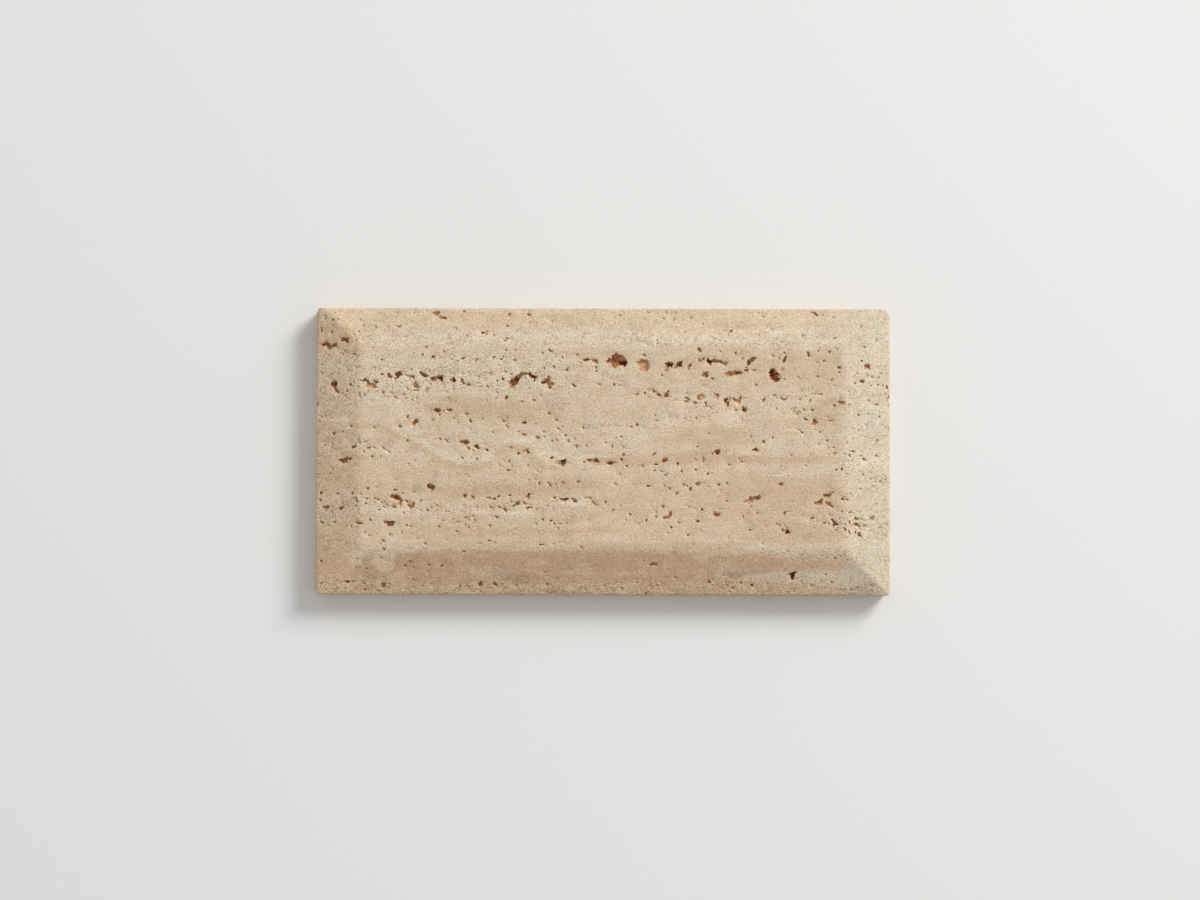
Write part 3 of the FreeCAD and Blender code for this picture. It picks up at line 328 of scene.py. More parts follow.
BROWN_PINHOLES = [
    (-66.1, 25.6, 0.9, 0.5), (-72.3, 31.6, 0.8, 0.5, 15), (-75.0, 32.3, 1.3, 0.5, 90), (-65.5, 29.3, 0.9, 0.5, 70),
    (-63.9, 29.3, 0.5, 0.35), (-66.4, 30.8, 0.9, 0.4, -35), (-63.6, 33.3, 1.2, 0.5, 80), (-60.5, 32.8, 0.7, 0.4, -60),
    (-57.1, 32.8, 0.9, 0.35, 75), (-54.2, 33.1, 1.8, 0.5), (-64.8, 31.7, 0.5, 0.4), (-59.5, 36.3, 0.4),
    (-47.1, 37.2, 0.6, 0.3), (-43.4, 35.7, 1.0, 0.5, -10), (-41.2, 29.5, 1.6, 0.35), (-46.8, 27.3, 0.6, 0.5),
    (-42.2, 26.1, 0.7, 0.5, -50), (-64.6, 22.1, 0.8, 0.4, 45), (-74.7, 23.0, 0.45), (-61.2, 27.1, 0.4),
    (-64.4, 14.7, 1.7, 0.5, -75), (-67.7, 15.8, 0.8, 0.5, 30), (-75.2, 16.5, 0.8, 0.4, -50), (-58.3, 15.2, 0.8, 0.5, 90),
    (-55.1, 13.9, 1.1, 0.4, -45), (-50.7, 13.4, 0.8, 0.4, -35), (-49.4, 13.8, 0.8, 0.4, 90), (-37.2, 37.0, 0.7, 0.6),
    (-32.9, 36.4, 0.4), (-19.7, 36.3, 0.9, 0.6, -20), (-19.5, 34.1, 0.8, 0.45, 65), (-13.6, 34.5, 0.9, 0.4, -25),
    (-36.2, 30.4, 0.5, 0.4), (-26.1, 29.2, 0.8, 0.5, 90), (-29.1, 30.6, 0.4), (-26.5, 25.0, 0.5, 0.4),
    (-23.3, 26.5, 0.6, 0.4), (-16.2, 25.7, 0.6, 0.5), (-14.0, 26.4, 1.2, 0.5, -40), (-6.9, 25.4, 0.6, 0.4),
    (-10.9, 24.7, 0.5), (-1.9, 22.1, 0.6, 0.5), (-13.0, 22.2, 0.8, 0.6, 90), (-26.4, 18.9, 0.8),
    (-28.1, 18.4, 0.45), (-30.6, 16.9, 0.7, 0.6), (-28.2, 15.2, 0.6, 0.45), (-28.3, 13.8, 0.8, 0.4),
    (-21.4, 12.9, 0.7, 0.6), (-16.5, 14.6, 0.5, 0.35), (-30.7, 13.3, 0.4, 0.3), (-10.0, 19.2, 0.4),
    (18.3, 23.1, 0.8, 0.5), (22.4, 21.8, 1.3, 0.4, 65), (25.4, 24.1, 1.2, 0.6), (32.4, 23.1, 0.9, 0.8),
    (10.8, 25.3, 0.6, 0.5), (15.4, 20.0, 0.5), (2.9, 17.6, 0.8), (4.2, 17.2, 0.7, 0.3), (8.7, 15.1, 1.8, 0.4, 32),
    (11.9, 14.4, 0.4), (22.2, 15.2, 0.4), (25.2, 26.9, 1.0, 0.9, -45), (31.0, 26.3, 0.5, 0.4), (34.8, 25.8, 0.6),
    (33.0, 30.9, 0.5), (36.7, 24.5, 0.9, 0.4, 30), (11.5, 28.0, 0.6, 0.4), (14.1, 29.3, 0.5, 0.4), (14.2, 28.4, 0.4),
    (7.8, 31.1, 0.5, 0.3), (11.9, 37.0, 0.5, 0.4), (16.7, 37.1, 0.4), (4.5, 36.1, 0.6, 0.4), (21.0, 34.7, 0.9, 0.4, 20),
    (15.9, 35.4, 0.8, 0.3), (18.6, 34.9, 0.4), (23.2, 35.5, 0.4), (26.2, 34.0, 0.4), (29.6, 29.9, 0.8, 0.4),
    (32.1, 29.0, 0.4), (27.2, 17.3, 0.3), (44.7, 25.3, 1.3, 0.5, -35), (56.5, 23.7, 1.0, 0.5), (59.7, 26.3, 0.8, 0.5),
    (62.5, 20.9, 0.4), (72.9, 20.0, 0.7, 0.5, 30), (70.1, 20.1, 0.5, 0.4), (66.4, 18.0, 0.8, 0.5, 90),
    (72.9, 17.8, 0.6, 0.4), (71.0, 17.5, 0.4), (75.4, 17.2, 1.2, 0.5, 90), (74.4, 17.6, 0.4), (40.4, 17.7, 0.6, 0.5),
    (47.9, 18.9, 0.5, 0.4), (56.7, 19.5, 0.5, 0.4), (60.5, 18.9, 0.5), (56.2, 15.0, 2.6, 0.3), (53.4, 14.5, 0.6, 0.35),
    (42.3, 13.6, 1.1), (52.1, 13.7, 0.6, 0.5), (62.6, 14.0, 0.5, 0.35), (64.9, 14.0, 0.4), (64.9, 15.9, 0.35),
    (63.1, 12.9, 1.5, 0.8), (70.6, 13.5, 1.1, 0.4, -20), (72.5, 12.6, 1.0, 0.5), (61.2, 29.9, 0.9, 0.4),
    (72.5, 29.6, 0.5, 0.4), (52.8, 30.7, 0.5, 0.4, -30), (56.4, 30.3, 0.4, 0.3), (58.2, 36.6, 0.4), (42.4, 35.8, 0.4),
    (56.7, 26.8, 0.45, 0.35), (48.0, 26.1, 0.5), (74.0, 21.0, 0.4), (44.7, 32.4, 0.7, 0.25), (48.2, 13.9, 0.9, 0.8),
    (-42.2, 10.5, 0.4), (-47.1, 10.8, 0.5, 0.35), (-43.2, 9.2, 0.6), (-39.4, 8.7, 0.5, 0.4), (-38.3, 7.4, 0.7, 0.5, 35),
    (-51.7, 8.7, 0.8, 0.6), (-53.9, 6.2, 0.9, 0.6, 60), (-60.5, 5.9, 0.8, 0.5, -65), (-69.0, 5.2, 0.7, 0.5, -35),
    (-64.3, 2.0, 0.5), (-62.0, 0.6, 1.0, 0.5), (-60.5, 0.6, 1.4, 0.4, -20), (-57.9, 0.2, 1.5, 0.4, -30),
    (-56.7, -0.5, 1.1, 0.4, -30), (-63.3, -0.4, 0.6, 0.5), (-58.8, -1.8, 0.7, 0.35, 90), (-71.7, -4.8, 0.5, 0.3),
    (-72.2, -6.1, 0.6, 0.3), (-51.5, -3.5, 0.5, 0.4), (-49.8, -2.9, 0.35), (-41.5, 2.5, 1.5, 0.4, -35),
    (-54.7, -7.7, 0.5, 0.35), (-60.0, -10.0, 0.7, 0.3), (-63.8, -11.5, 0.7, 0.4), (-49.9, -10.9, 0.5, 0.4),
    (-52.8, -11.4, 0.5, 0.4), (-74.5, 9.1, 0.4), (-73.6, 9.0, 0.4), (-75.4, 7.7, 0.4), (-67.3, 9.1, 0.5, 0.25),
    (-49.0, 12.4, 0.45, 0.4), (-36.4, 9.8, 1.0, 0.5), (-35.2, 7.6, 0.9, 0.8), (-35.2, 5.6, 0.4), (-35.6, 0.4, 0.6, 0.5),
    (-33.4, -2.3, 0.6, 0.5), (-31.8, 8.4, 0.6, 0.4), (-26.2, 7.8, 0.8, 0.5), (-25.4, 6.4, 0.9, 0.4, -65),
    (-12.4, 8.3, 0.9, 0.5, -50), (-11.9, 5.8, 1.1, 0.5, -20), (-10.7, 6.4, 0.35), (-20.9, 4.3, 1.2, 0.6),
    (-17.5, 3.3, 1.1, 0.6), (-15.7, 5.0, 1.0, 0.5), (-15.6, 3.7, 0.5, 0.4), (-9.6, 3.9, 0.8, 0.5), (-8.9, 2.6, 0.6),
    (-7.7, 3.0, 0.4), (-7.0, 1.1, 1.2, 0.6), (-5.4, 6.2, 0.6, 0.5), (-20.9, -0.3, 1.5, 0.6, -15), (-20.3, -0.5, 0.9, 0.8),
    (-9.1, -3.3, 0.45), (-4.9, -2.8, 0.4), (-25.0, -5.3, 1.0, 0.6), (-24.6, -2.7, 0.7, 0.5), (-27.2, -4.1, 0.5),
    (-26.1, -2.8, 0.35), (-19.9, -4.0, 0.6, 0.3, 90), (-19.6, -7.9, 0.6, 0.3), (-14.1, -9.0, 1.4, 0.5, -55),
    (-12.6, -8.8, 0.5, 0.4), (-10.6, -8.6, 0.5, 0.4), (-4.2, -12.5, 2.0, 0.4), (-34.5, -12.4, 0.9, 0.6, -30),
    (-30.1, -12.4, 1.2, 0.4), (-28.5, -12.8, 1.2, 0.6), (35.7, 12.6, 0.9, 0.6), (35.1, 10.8, 0.6, 0.5), (27.4, 12.0, 0.5),
    (28.2, 11.4, 0.5, 0.3), (13.7, 9.2, 0.4), (14.1, 8.0, 0.9, 0.3), (24.5, 8.7, 0.4), (7.4, 6.4, 1.0, 0.5),
    (6.2, 6.4, 0.6, 0.4), (4.9, 3.6, 0.6, 0.5), (3.5, 3.3, 0.5, 0.4), (0.9, 2.0, 0.7, 0.4), (2.4, 1.0, 0.9, 0.4, 90),
    (5.3, 1.0, 0.6, 0.3), (24.8, 1.2, 0.5, 0.4), (28.1, 4.7, 0.6, 0.5), (30.4, -0.7, 0.7, 0.6), (4.7, -2.3, 1.1, 0.7, -60),
    (1.2, -3.4, 1.2, 0.5), (2.9, -3.3, 1.3, 0.5), (13.5, -1.0, 1.3, 0.6, 25), (16.5, -2.0, 0.8), (15.4, -5.5, 0.5, 0.35),
    (17.0, -6.0, 0.4), (26.5, -2.3, 1.5, 0.7, 75), (36.0, -2.2, 0.5, 0.4), (36.6, -2.9, 0.5, 0.4), (3.3, -9.1, 1.3, 0.5, -20),
    (16.2, -9.2, 0.4), (17.5, -9.9, 0.6, 0.5), (21.0, -8.8, 1.2, 0.6, 10), (22.0, -9.4, 0.7, 0.5), (25.3, -8.6, 1.0, 0.5),
    (32.5, -8.6, 0.8, 0.5, 65), (3.8, -6.1, 0.35), (4.6, -6.1, 0.35), (52.8, 11.0, 1.2, 0.5), (45.8, 11.2, 0.6, 0.3, 90),
    (51.0, 9.6, 0.9, 0.6), (55.5, 7.4, 0.7, 0.6), (59.7, 8.0, 1.1, 0.4), (60.8, 8.0, 0.4), (70.2, 9.9, 0.9, 0.35),
    (73.3, 9.3, 0.4), (69.5, 7.0, 0.6, 0.3), (52.4, 5.0, 1.0, 0.6, -60), (57.3, 5.3, 0.7, 0.4), (44.8, 3.7, 0.6, 0.5, -50),
    (39.1, 3.9, 0.4), (49.7, -1.0, 0.5, 0.25), (59.0, 2.8, 0.5), (57.1, 2.0, 0.5, 0.35), (60.9, 0.9, 1.0, 0.3),
    (59.6, 0.8, 0.35), (61.1, -0.7, 1.0, 0.4), (66.1, 0.2, 1.8, 0.6), (63.9, -0.8, 0.4), (65.2, -1.2, 1.3, 0.4, -40),
    (69.1, -1.9, 1.3, 0.5, -35), (68.3, -1.1, 0.6, 0.4), (72.4, -1.0, 0.7, 0.5), (72.0, 1.8, 0.3), (64.5, 2.1, 0.5, 0.3),
    (54.3, -3.1, 0.3), (71.0, -7.3, 1.0, 0.4, -10), (73.6, -7.8, 0.6, 0.5), (72.3, -8.1, 0.5, 0.3), (75.0, -7.5, 0.5, 0.3, 90),
    (47.4, -8.6, 0.7, 0.4), (60.3, -11.1, 1.7, 0.4), (63.7, -12.0, 1.0, 0.5), (64.5, -12.5, 0.7, 0.6), (65.2, -11.2, 0.35),
    (-51.9, -13.4, 1.2, 0.7, -50), (-58.6, -13.5, 0.4), (-59.4, -12.9, 0.6), (-60.3, -12.7, 0.5), (-62.5, -12.7, 0.8, 0.4),
    (-65.0, -13.3, 1.1, 0.5, 90), (-65.2, -14.8, 0.7, 0.4), (-65.8, -12.7, 2.2, 0.4), (-74.1, -15.0, 1.1, 0.5),
    (-71.9, -16.4, 0.4, 0.3), (-43.9, -14.7, 0.8, 0.5, 70), (-49.0, -15.4, 0.4, 0.2), (-47.9, -13.4, 0.4),
    (-52.6, -16.7, 0.5, 0.3), (-41.5, -16.2, 0.3), (-73.3, -18.2, 0.7, 0.3), (-72.8, -20.0, 1.4, 0.25, 10),
    (-66.7, -20.0, 0.4), (-61.5, -18.5, 0.8, 0.5, -40), (-50.8, -20.2, 0.6, 0.3), (-39.4, -18.3, 0.6, 0.4),
    (-42.3, -18.6, 0.6, 0.3), (-48.0, -18.4, 0.5, 0.3), (-38.1, -19.1, 1.6, 0.3), (-62.6, -21.5, 0.4), (-61.7, -22.4, 0.5, 0.4),
    (-56.2, -22.5, 0.6, 0.4), (-53.2, -21.7, 0.4), (-58.1, -24.0, 0.6, 0.5, 90), (-58.9, -24.6, 1.0, 0.25),
    (-57.4, -29.2, 0.5, 0.2), (-46.9, -24.6, 0.5, 0.4), (-49.0, -23.1, 0.7, 0.3), (-41.4, -23.6, 0.7, 0.2),
    (-74.5, -29.1, 0.8, 0.7, 90), (-64.9, -28.8, 0.8, 0.3, 30), (-65.3, -30.8, 0.6, 0.3), (-50.9, -29.5, 0.5, 0.4),
    (-49.9, -31.2, 0.5, 0.3), (-45.8, -30.2, 0.7, 0.5, 50), (-46.3, -32.0, 0.5, 0.3, 90), (-49.9, -34.2, 1.0, 0.35, -10),
    (-74.5, -35.3, 1.1, 0.35, 35), (-68.2, -36.4, 0.5, 0.3), (-56.3, -35.4, 0.7, 0.4), (-45.6, -37.9, 0.3),
    (-34.6, -12.6, 1.0, 0.4), (-27.5, -15.0, 0.6, 0.4), (-28.6, -15.3, 0.4), (-24.4, -13.4, 0.6, 0.4, -40),
    (-20.8, -13.8, 1.0, 0.6), (-18.9, -15.0, 0.5), (-19.2, -14.1, 0.4, 0.3), (-3.6, -12.6, 1.4, 0.4),
    (-2.5, -13.8, 1.3, 0.45, -45), (-1.7, -14.3, 0.8, 0.3, -10), (-14.4, -14.8, 0.4), (-36.1, -17.9, 0.9, 0.4, 15),
    (-34.4, -17.4, 0.8, 0.4, 30), (-35.4, -18.5, 0.35), (-33.8, -18.5, 0.6, 0.4), (-36.3, -19.6, 0.5, 0.3),
    (-29.8, -19.9, 1.0, 0.4, -45), (-12.8, -19.5, 0.5), (-11.4, -19.4, 0.9, 0.25), (-9.5, -19.3, 0.5, 0.4),
    (-11.9, -20.5, 0.6, 0.35), (-17.7, -19.4, 0.4), (-32.7, -24.7, 1.4, 0.3, 20), (-28.6, -24.4, 0.8, 0.2),
    (-13.2, -24.7, 0.6, 0.3), (-11.8, -24.3, 0.4), (-10.4, -24.0, 0.5, 0.3), (-5.5, -25.7, 0.9, 0.4, -60),
    (-36.6, -26.7, 0.6, 0.5), (-28.6, -31.0, 0.3), (-35.4, -35.9, 0.5, 0.4), (-22.9, -35.7, 0.6, 0.4), (-13.8, -35.1, 0.4),
    (-6.1, -36.3, 0.7, 0.4, 30), (-4.5, -36.3, 0.5), (-14.6, -33.1, 0.7, 0.2), (-12.4, -33.7, 0.4), (-15.3, -32.2, 0.8, 0.3),
    (-18.2, -35.3, 0.4), (0.6, -13.4, 0.6, 0.5), (2.5, -15.9, 0.7, 0.5), (4.7, -14.7, 0.5, 0.4), (9.3, -19.5, 0.6, 0.3),
    (14.1, -16.3, 0.7, 0.4, 75), (20.0, -19.0, 0.8, 0.6), (22.4, -22.5, 0.7, 0.5), (25.9, -21.2, 0.4, 0.3),
    (22.9, -14.7, 1.3, 0.3, -10), (32.6, -13.2, 0.6, 0.4), (37.0, -17.3, 0.8, 0.4, 90), (8.4, -25.8, 0.8, 0.3, 70),
    (19.0, -26.8, 0.4), (10.8, -29.2, 0.6, 0.2), (19.2, -33.2, 0.8, 0.4, -15), (12.4, -35.6, 0.5), (9.1, -34.8, 0.6, 0.3),
    (5.0, -36.3, 1.1, 0.5, -50), (2.8, -36.6, 0.8, 0.2), (0.4, -35.6, 0.8, 0.4, -40), (32.0, -32.9, 0.5, 0.3),
    (32.4, -34.6, 0.4), (32.9, -35.3, 0.5), (34.4, -36.2, 0.7, 0.4, 90), (36.6, -34.8, 0.7, 0.5), (33.9, -33.2, 0.4),
    (39.2, -14.6, 0.4), (40.6, -16.5, 0.5), (49.0, -16.1, 1.0, 0.25, 25), (60.2, -17.0, 1.3, 0.4), (63.7, -20.8, 0.9, 0.8),
    (65.1, -21.5, 1.6, 0.4, -75), (65.5, -16.3, 1.5, 0.4, -25), (67.5, -19.9, 1.2, 0.4, -20), (66.8, -21.5, 0.9, 0.4, 90),
    (68.3, -23.3, 0.5, 0.3), (69.5, -19.5, 1.4, 0.5, -25), (71.4, -17.7, 1.2, 0.6), (71.5, -17.0, 0.9, 0.4, 90),
    (73.3, -20.0, 0.6, 0.4), (75.3, -19.1, 0.9, 0.4, 90), (46.0, -19.2, 0.5, 0.4), (42.8, -20.1, 0.5, 0.2),
    (42.0, -24.4, 0.7, 0.3, 35), (48.8, -26.5, 0.7, 0.25), (61.5, -28.2, 0.5), (62.6, -27.8, 0.6, 0.3, -40),
    (68.4, -29.9, 0.6, 0.3), (48.2, -31.1, 0.35), (59.2, -32.4, 0.5), (43.6, -34.8, 0.5, 0.4, 90), (47.4, -34.6, 0.7, 0.2),
    (52.6, -34.4, 0.5), (60.7, -34.5, 0.6, 0.5), (71.1, -35.2, 0.4), (63.0, -36.3, 0.5), (49.1, -37.2, 0.6, 0.2),
]
FAINT_PINHOLES = [
    (-69.3, 25.7, 1.4, 0.3), (-69.4, 33.4, 0.8, 0.5), (-71.6, 33.3, 0.5), (-70.5, 35.2, 0.6, 0.5), (-74.0, 35.4, 1.2, 0.6),
    (-70.6, 27.1, 1.7, 0.4), (-45.7, 37.2, 0.5, 0.3), (-51.9, 19.8, 1.3, 0.7), (-39.7, 16.7, 1.5, 0.4, 90),
    (-66.1, 18.1, 0.7, 0.5), (-65.0, 16.7, 1.2, 0.5), (-63.1, 14.6, 1.0, 0.5, -55), (-66.0, 15.2, 0.7, 0.4, 90),
    (-68.2, 14.3, 0.6, 0.3), (-56.2, 14.9, 0.8, 0.6), (-53.0, 14.7, 0.8, 0.6), (-49.2, 17.7, 0.8, 0.7),
    (-45.7, 17.4, 0.8, 0.4, 70), (-41.1, 13.7, 1.3, 0.6), (-52.1, 16.3, 0.9, 0.4, 90), (-50.7, 21.2, 0.5),
    (-25.5, 34.7, 0.5), (-31.1, 31.5, 0.9, 0.7), (-3.2, 24.0, 1.6, 0.3), (-33.1, 19.2, 0.9, 0.6, 50),
    (-29.9, 20.3, 0.8, 0.7), (-26.0, 20.8, 1.2, 0.5), (-1.2, 17.4, 1.4, 0.5), (-37.4, 20.4, 0.6, 0.3, 90),
    (12.1, 16.1, 1.2, 0.8), (13.6, 16.1, 1.3, 0.9), (22.0, 13.7, 1.4, 1.2), (22.0, 29.5, 1.8, 0.25), (24.1, 29.6, 1.1, 0.4),
    (39.7, 21.3, 0.9, 0.7), (46.3, 24.7, 0.6, 0.5), (51.7, 19.5, 1.3, 0.4, -40), (45.0, 14.5, 1.0, 0.5),
    (41.5, 31.2, 1.0, 0.5, 30), (61.0, 35.8, 1.0, 0.5, 90), (71.4, 35.4, 0.8, 0.5, 50), (68.2, 33.3, 1.3, 0.5, 90),
    (41.0, 36.7, 1.2, 0.4, -15), (67.3, 20.8, 1.0, 0.4, 90), (-45.9, 10.5, 0.6, 0.4), (-45.0, 8.1, 1.0, 0.9),
    (-73.7, 2.4, 1.5, 0.4, 90), (-72.0, 1.2, 2.0, 0.45, 80), (-63.0, 2.1, 1.4, 0.4), (-69.1, -3.4, 0.9, 0.4, 40),
    (-31.3, 1.6, 1.8, 0.3), (-34.4, -0.4, 0.7, 0.4, -40), (-29.0, 4.9, 0.5), (-22.5, 4.9, 0.8, 0.4), (-24.6, 0.8, 1.2, 0.5),
    (-24.2, -4.1, 1.1, 0.4, 90), (-17.5, -5.5, 0.8, 0.4), (-5.3, -5.2, 0.6, 0.4), (-18.8, -11.7, 0.9, 0.4, 90),
    (17.4, 9.0, 0.8, 0.35, 90), (21.4, 8.6, 0.7, 0.6, -50), (27.9, 9.0, 0.8, 0.3), (20.4, -4.8, 1.6, 0.3, -75),
    (28.8, -6.1, 0.6, 0.3), (24.4, -2.3, 0.8, 0.4, -45), (33.3, -3.5, 0.8, 0.6, 90), (26.4, -8.5, 1.0, 0.3),
    (27.9, -9.6, 0.8, 0.35), (30.9, -10.6, 0.6, 0.5), (8.0, -9.0, 0.7, 0.4, 90), (10.4, -4.3, 1.2, 0.7, 90),
    (65.1, 12.5, 0.8, 0.4), (59.3, 9.2, 0.6, 0.5), (63.1, 9.4, 0.6, 0.4), (55.9, 5.7, 1.0, 0.3), (51.6, 5.5, 1.2, 0.3, -40),
    (39.8, -1.3, 0.4), (68.6, 0.2, 1.0, 0.3), (72.9, 2.7, 1.1, 0.9, 90), (53.4, -3.8, 1.0, 0.4, 25), (71.7, -9.4, 0.6, 0.5),
    (-51.0, -12.6, 0.9, 0.5), (-55.1, -15.0, 0.9, 0.8), (-57.2, -14.2, 0.5), (-60.4, -13.9, 0.6, 0.4), (-45.4, -15.2, 1.0, 0.7),
    (-68.1, -20.1, 2.4, 0.2), (-64.3, -18.6, 0.7, 0.5, 90), (-54.5, -22.3, 0.5, 0.3), (-48.9, -25.3, 0.4),
    (-36.9, -14.5, 0.6, 0.3), (-0.5, -15.0, 0.6, 0.5), (-29.3, -17.6, 0.6, 0.5), (-3.7, -18.4, 0.6, 0.4),
    (-23.3, -20.6, 0.6, 0.2), (6.0, -18.2, 0.5), (16.9, -19.1, 0.5), (16.9, -21.8, 0.8, 0.4, -40), (24.5, -15.4, 0.5),
    (30.9, -15.4, 0.9, 0.4), (16.9, -33.5, 0.5), (32.5, -25.2, 0.9, 0.2), (14.9, -23.7, 0.5, 0.3), (38.3, -16.3, 0.6, 0.5),
    (61.5, -21.1, 0.8, 0.4, 20), (63.1, -15.9, 0.6, 0.5), (70.0, -22.2, 0.6, 0.5), (74.9, -22.5, 0.6, 0.5),
    (52.9, -23.4, 0.6, 0.3), (55.2, -35.3, 1.0, 0.9), (57.8, -34.4, 0.5),
]
BLACK_SHARE, BROWN_SHARE, FAINT_SHARE = 1.30, 0.72, 0.45

# How a lobe lies and how ragged it is
CENTRE_SHARE = 0.10
WORN_WIDER = 0.14
LARGE_WIDER = 0.42
DEPTH_FOR_WIDTH = 1.05
RAGGED = 0.22
MOST_RAGGED = 0.34
RAGGED_UPRIGHT = 0.45
RIM_WEAR = 0.10
NOISE_CELLS = 128
SEED = 11


def stone_noise(seed, size):
    """A block of noise that tiles, with lumps about as large as size in mm, of mean 0 and spread 1."""
    raw = np.random.default_rng(seed).standard_normal((NOISE_CELLS,) * 3)
    turns = np.fft.fftfreq(NOISE_CELLS, CELL)
    falloff = np.exp(-0.5 * (turns * size) ** 2 * 4)
    soft = np.fft.ifftn(
        np.fft.fftn(raw) * falloff[:, None, None] * falloff[None, :, None] * falloff[None, None, :]
    ).real
    return (soft / soft.std()).astype(np.float32)


crumble = [0.75 * stone_noise(SEED + axis, 1.6) + 0.55 * stone_noise(SEED + 10 + axis, 0.6) for axis in range(3)]


def cut_lobe(x, y, z, half_length, half_width, half_height, turn=0.0):
    """Hollows one ragged lobe out of the block, round the given middle."""
    ragged = min(RAGGED * min(half_length, half_width) * 2, MOST_RAGGED)
    plan_reach = max(half_length, half_width) + 3 * ragged + SKIN_CELLS * CELL
    upright_reach = half_height + 3 * ragged + SKIN_CELLS * CELL
    spans = []
    for line, place, reach in ((along_x, x, plan_reach), (along_y, y, plan_reach), (along_z, z, upright_reach)):
        first = max(0, math.floor((place - reach - line[0]) / CELL))
        last = min(len(line), math.ceil((place + reach - line[0]) / CELL) + 1)
        if first >= last:
            return
        spans.append(np.arange(first, last))
    tiles = np.ix_(*[span % NOISE_CELLS for span in spans])
    off_x = along_x[spans[0]][:, None, None] - x + ragged * crumble[0][tiles]
    off_y = along_y[spans[1]][None, :, None] - y + ragged * crumble[1][tiles]
    off_z = along_z[spans[2]][None, None, :] - z + RAGGED_UPRIGHT * ragged * crumble[2][tiles]
    cosine, sine = math.cos(math.radians(turn)), math.sin(math.radians(turn))
    lengthwise = (off_x * cosine + off_y * sine) / half_length
    widthwise = (off_y * cosine - off_x * sine) / half_width
    upright = off_z / half_height
    span = np.sqrt(lengthwise**2 + widthwise**2 + upright**2) + 1e-6
    slope = np.sqrt((lengthwise / half_length) ** 2 + (widthwise / half_width) ** 2 + (upright / half_height) ** 2)
    distance = span * (span - 1) / (slope + 1e-6)
    block = np.ix_(*spans)
    stone_cells[block] = worn_join(stone_cells[block], -distance, RIM_WEAR)


def cut_void(x, y, length, width, turn, depth, wider=WORN_WIDER):
    """One lobe that opens in the face: a bowl, widest just below its rim."""
    depth = min(depth, 0.2 + DEPTH_FOR_WIDTH * width)
    sunk = CENTRE_SHARE * depth
    half_height = depth - sunk
    mouth = math.sqrt(1 - (sunk / half_height) ** 2)
    half_length = (length + wider) / 2 / mouth
    half_width = (width + wider) / 2 / mouth
    cut_lobe(x, y, face_height(x, y) - sunk, half_length, half_width, half_height, turn)


for lobe in LARGE_VOIDS:
    cut_void(*lobe, wider=LARGE_WIDER)
for pinholes, share in ((BLACK_PINHOLES, BLACK_SHARE), (BROWN_PINHOLES, BROWN_SHARE), (FAINT_PINHOLES, FAINT_SHARE)):
    for x, y, length, *rest in pinholes:
        width = rest[0] if rest else length
        turn = rest[1] if len(rest) > 1 else 0
        cut_void(x, y, length, width, turn, share * (width + WORN_WIDER))


# The small pores between the larger voids, and those that the saw cut open on the back, the
# two long sides and both ends. Their places are chance, but they gather in the open beds.
chance = np.random.default_rng(SEED)
FACE_PORES = 260
BACK_PORES = 420
SIDE_PORES = 130
END_PORES = 110
CHIPS_PER_SIDE = 34


def in_open_beds(count):
    """Places in plan, more of them where the beds are open."""
    found = []
    while len(found) < count:
        x = chance.uniform(-HALF_LENGTH, HALF_LENGTH)
        y = chance.uniform(-HALF_WIDTH, HALF_WIDTH)
        if chance.uniform() < pore_share(x, y) ** 3:
            found.append((x, y))
    return found


for x, y in in_open_beds(FACE_PORES):
    width = chance.uniform(0.2, 0.36)
    cut_void(x, y, width * chance.uniform(1.0, 1.8), width, chance.normal(0, 30), chance.uniform(0.12, 0.26))
for x, y in in_open_beds(BACK_PORES):
    size = 0.3 * chance.pareto(2.6) + 0.35
    size = min(size, 1.8)
    cut_lobe(x, y, 0.1, size * chance.uniform(0.7, 1.2), size * 0.5, size * chance.uniform(0.6, 1.4), chance.normal(0, 15))
for side in (-1, 1):
    for _ in range(SIDE_PORES):
        size = min(0.25 * chance.pareto(2.6) + 0.3, 1.4)
        x, z = chance.uniform(-HALF_LENGTH + 1, HALF_LENGTH - 1), chance.uniform(0.4, 5.6)
        cut_lobe(x, side * HALF_WIDTH, z, size, size * 0.6, size * chance.uniform(0.4, 0.8))
    for _ in range(END_PORES):
        size = min(0.25 * chance.pareto(2.6) + 0.28, 1.3)
        x, y = in_open_beds(1)[0]
        cut_lobe(side * HALF_LENGTH, y, chance.uniform(0.3, 5.4), size, size * 0.5, size * chance.uniform(0.7, 1.5))

# Chips along the sharp outer arris, where the bevels meet the sawn sides
for side in (-1, 1):
    for _ in range(CHIPS_PER_SIDE):
        x = chance.uniform(-HALF_LENGTH, HALF_LENGTH)
        size = chance.uniform(0.25, 0.7)
        cut_lobe(x, side * (HALF_WIDTH + 0.05), float(face_height(x, side * HALF_WIDTH)) + 0.15, size, 0.28, 0.35)
    for _ in range(CHIPS_PER_SIDE // 2):
        y = chance.uniform(-HALF_WIDTH, HALF_WIDTH)
        size = chance.uniform(0.25, 0.6)
        cut_lobe(side * (HALF_LENGTH + 0.05), y, float(face_height(side * HALF_LENGTH, y)) + 0.15, 0.28, size, 0.35)


# The stone's skin, drawn through the block of cells and thinned where it is flat. Loose
# crumbs and bubbles that no longer touch the tile are dropped.
MOST_TRIANGLES = 192000
FLATNESS = 0.1
SHARP_FROM = math.radians(32)
SEEN_DEPTH = "void_depth"

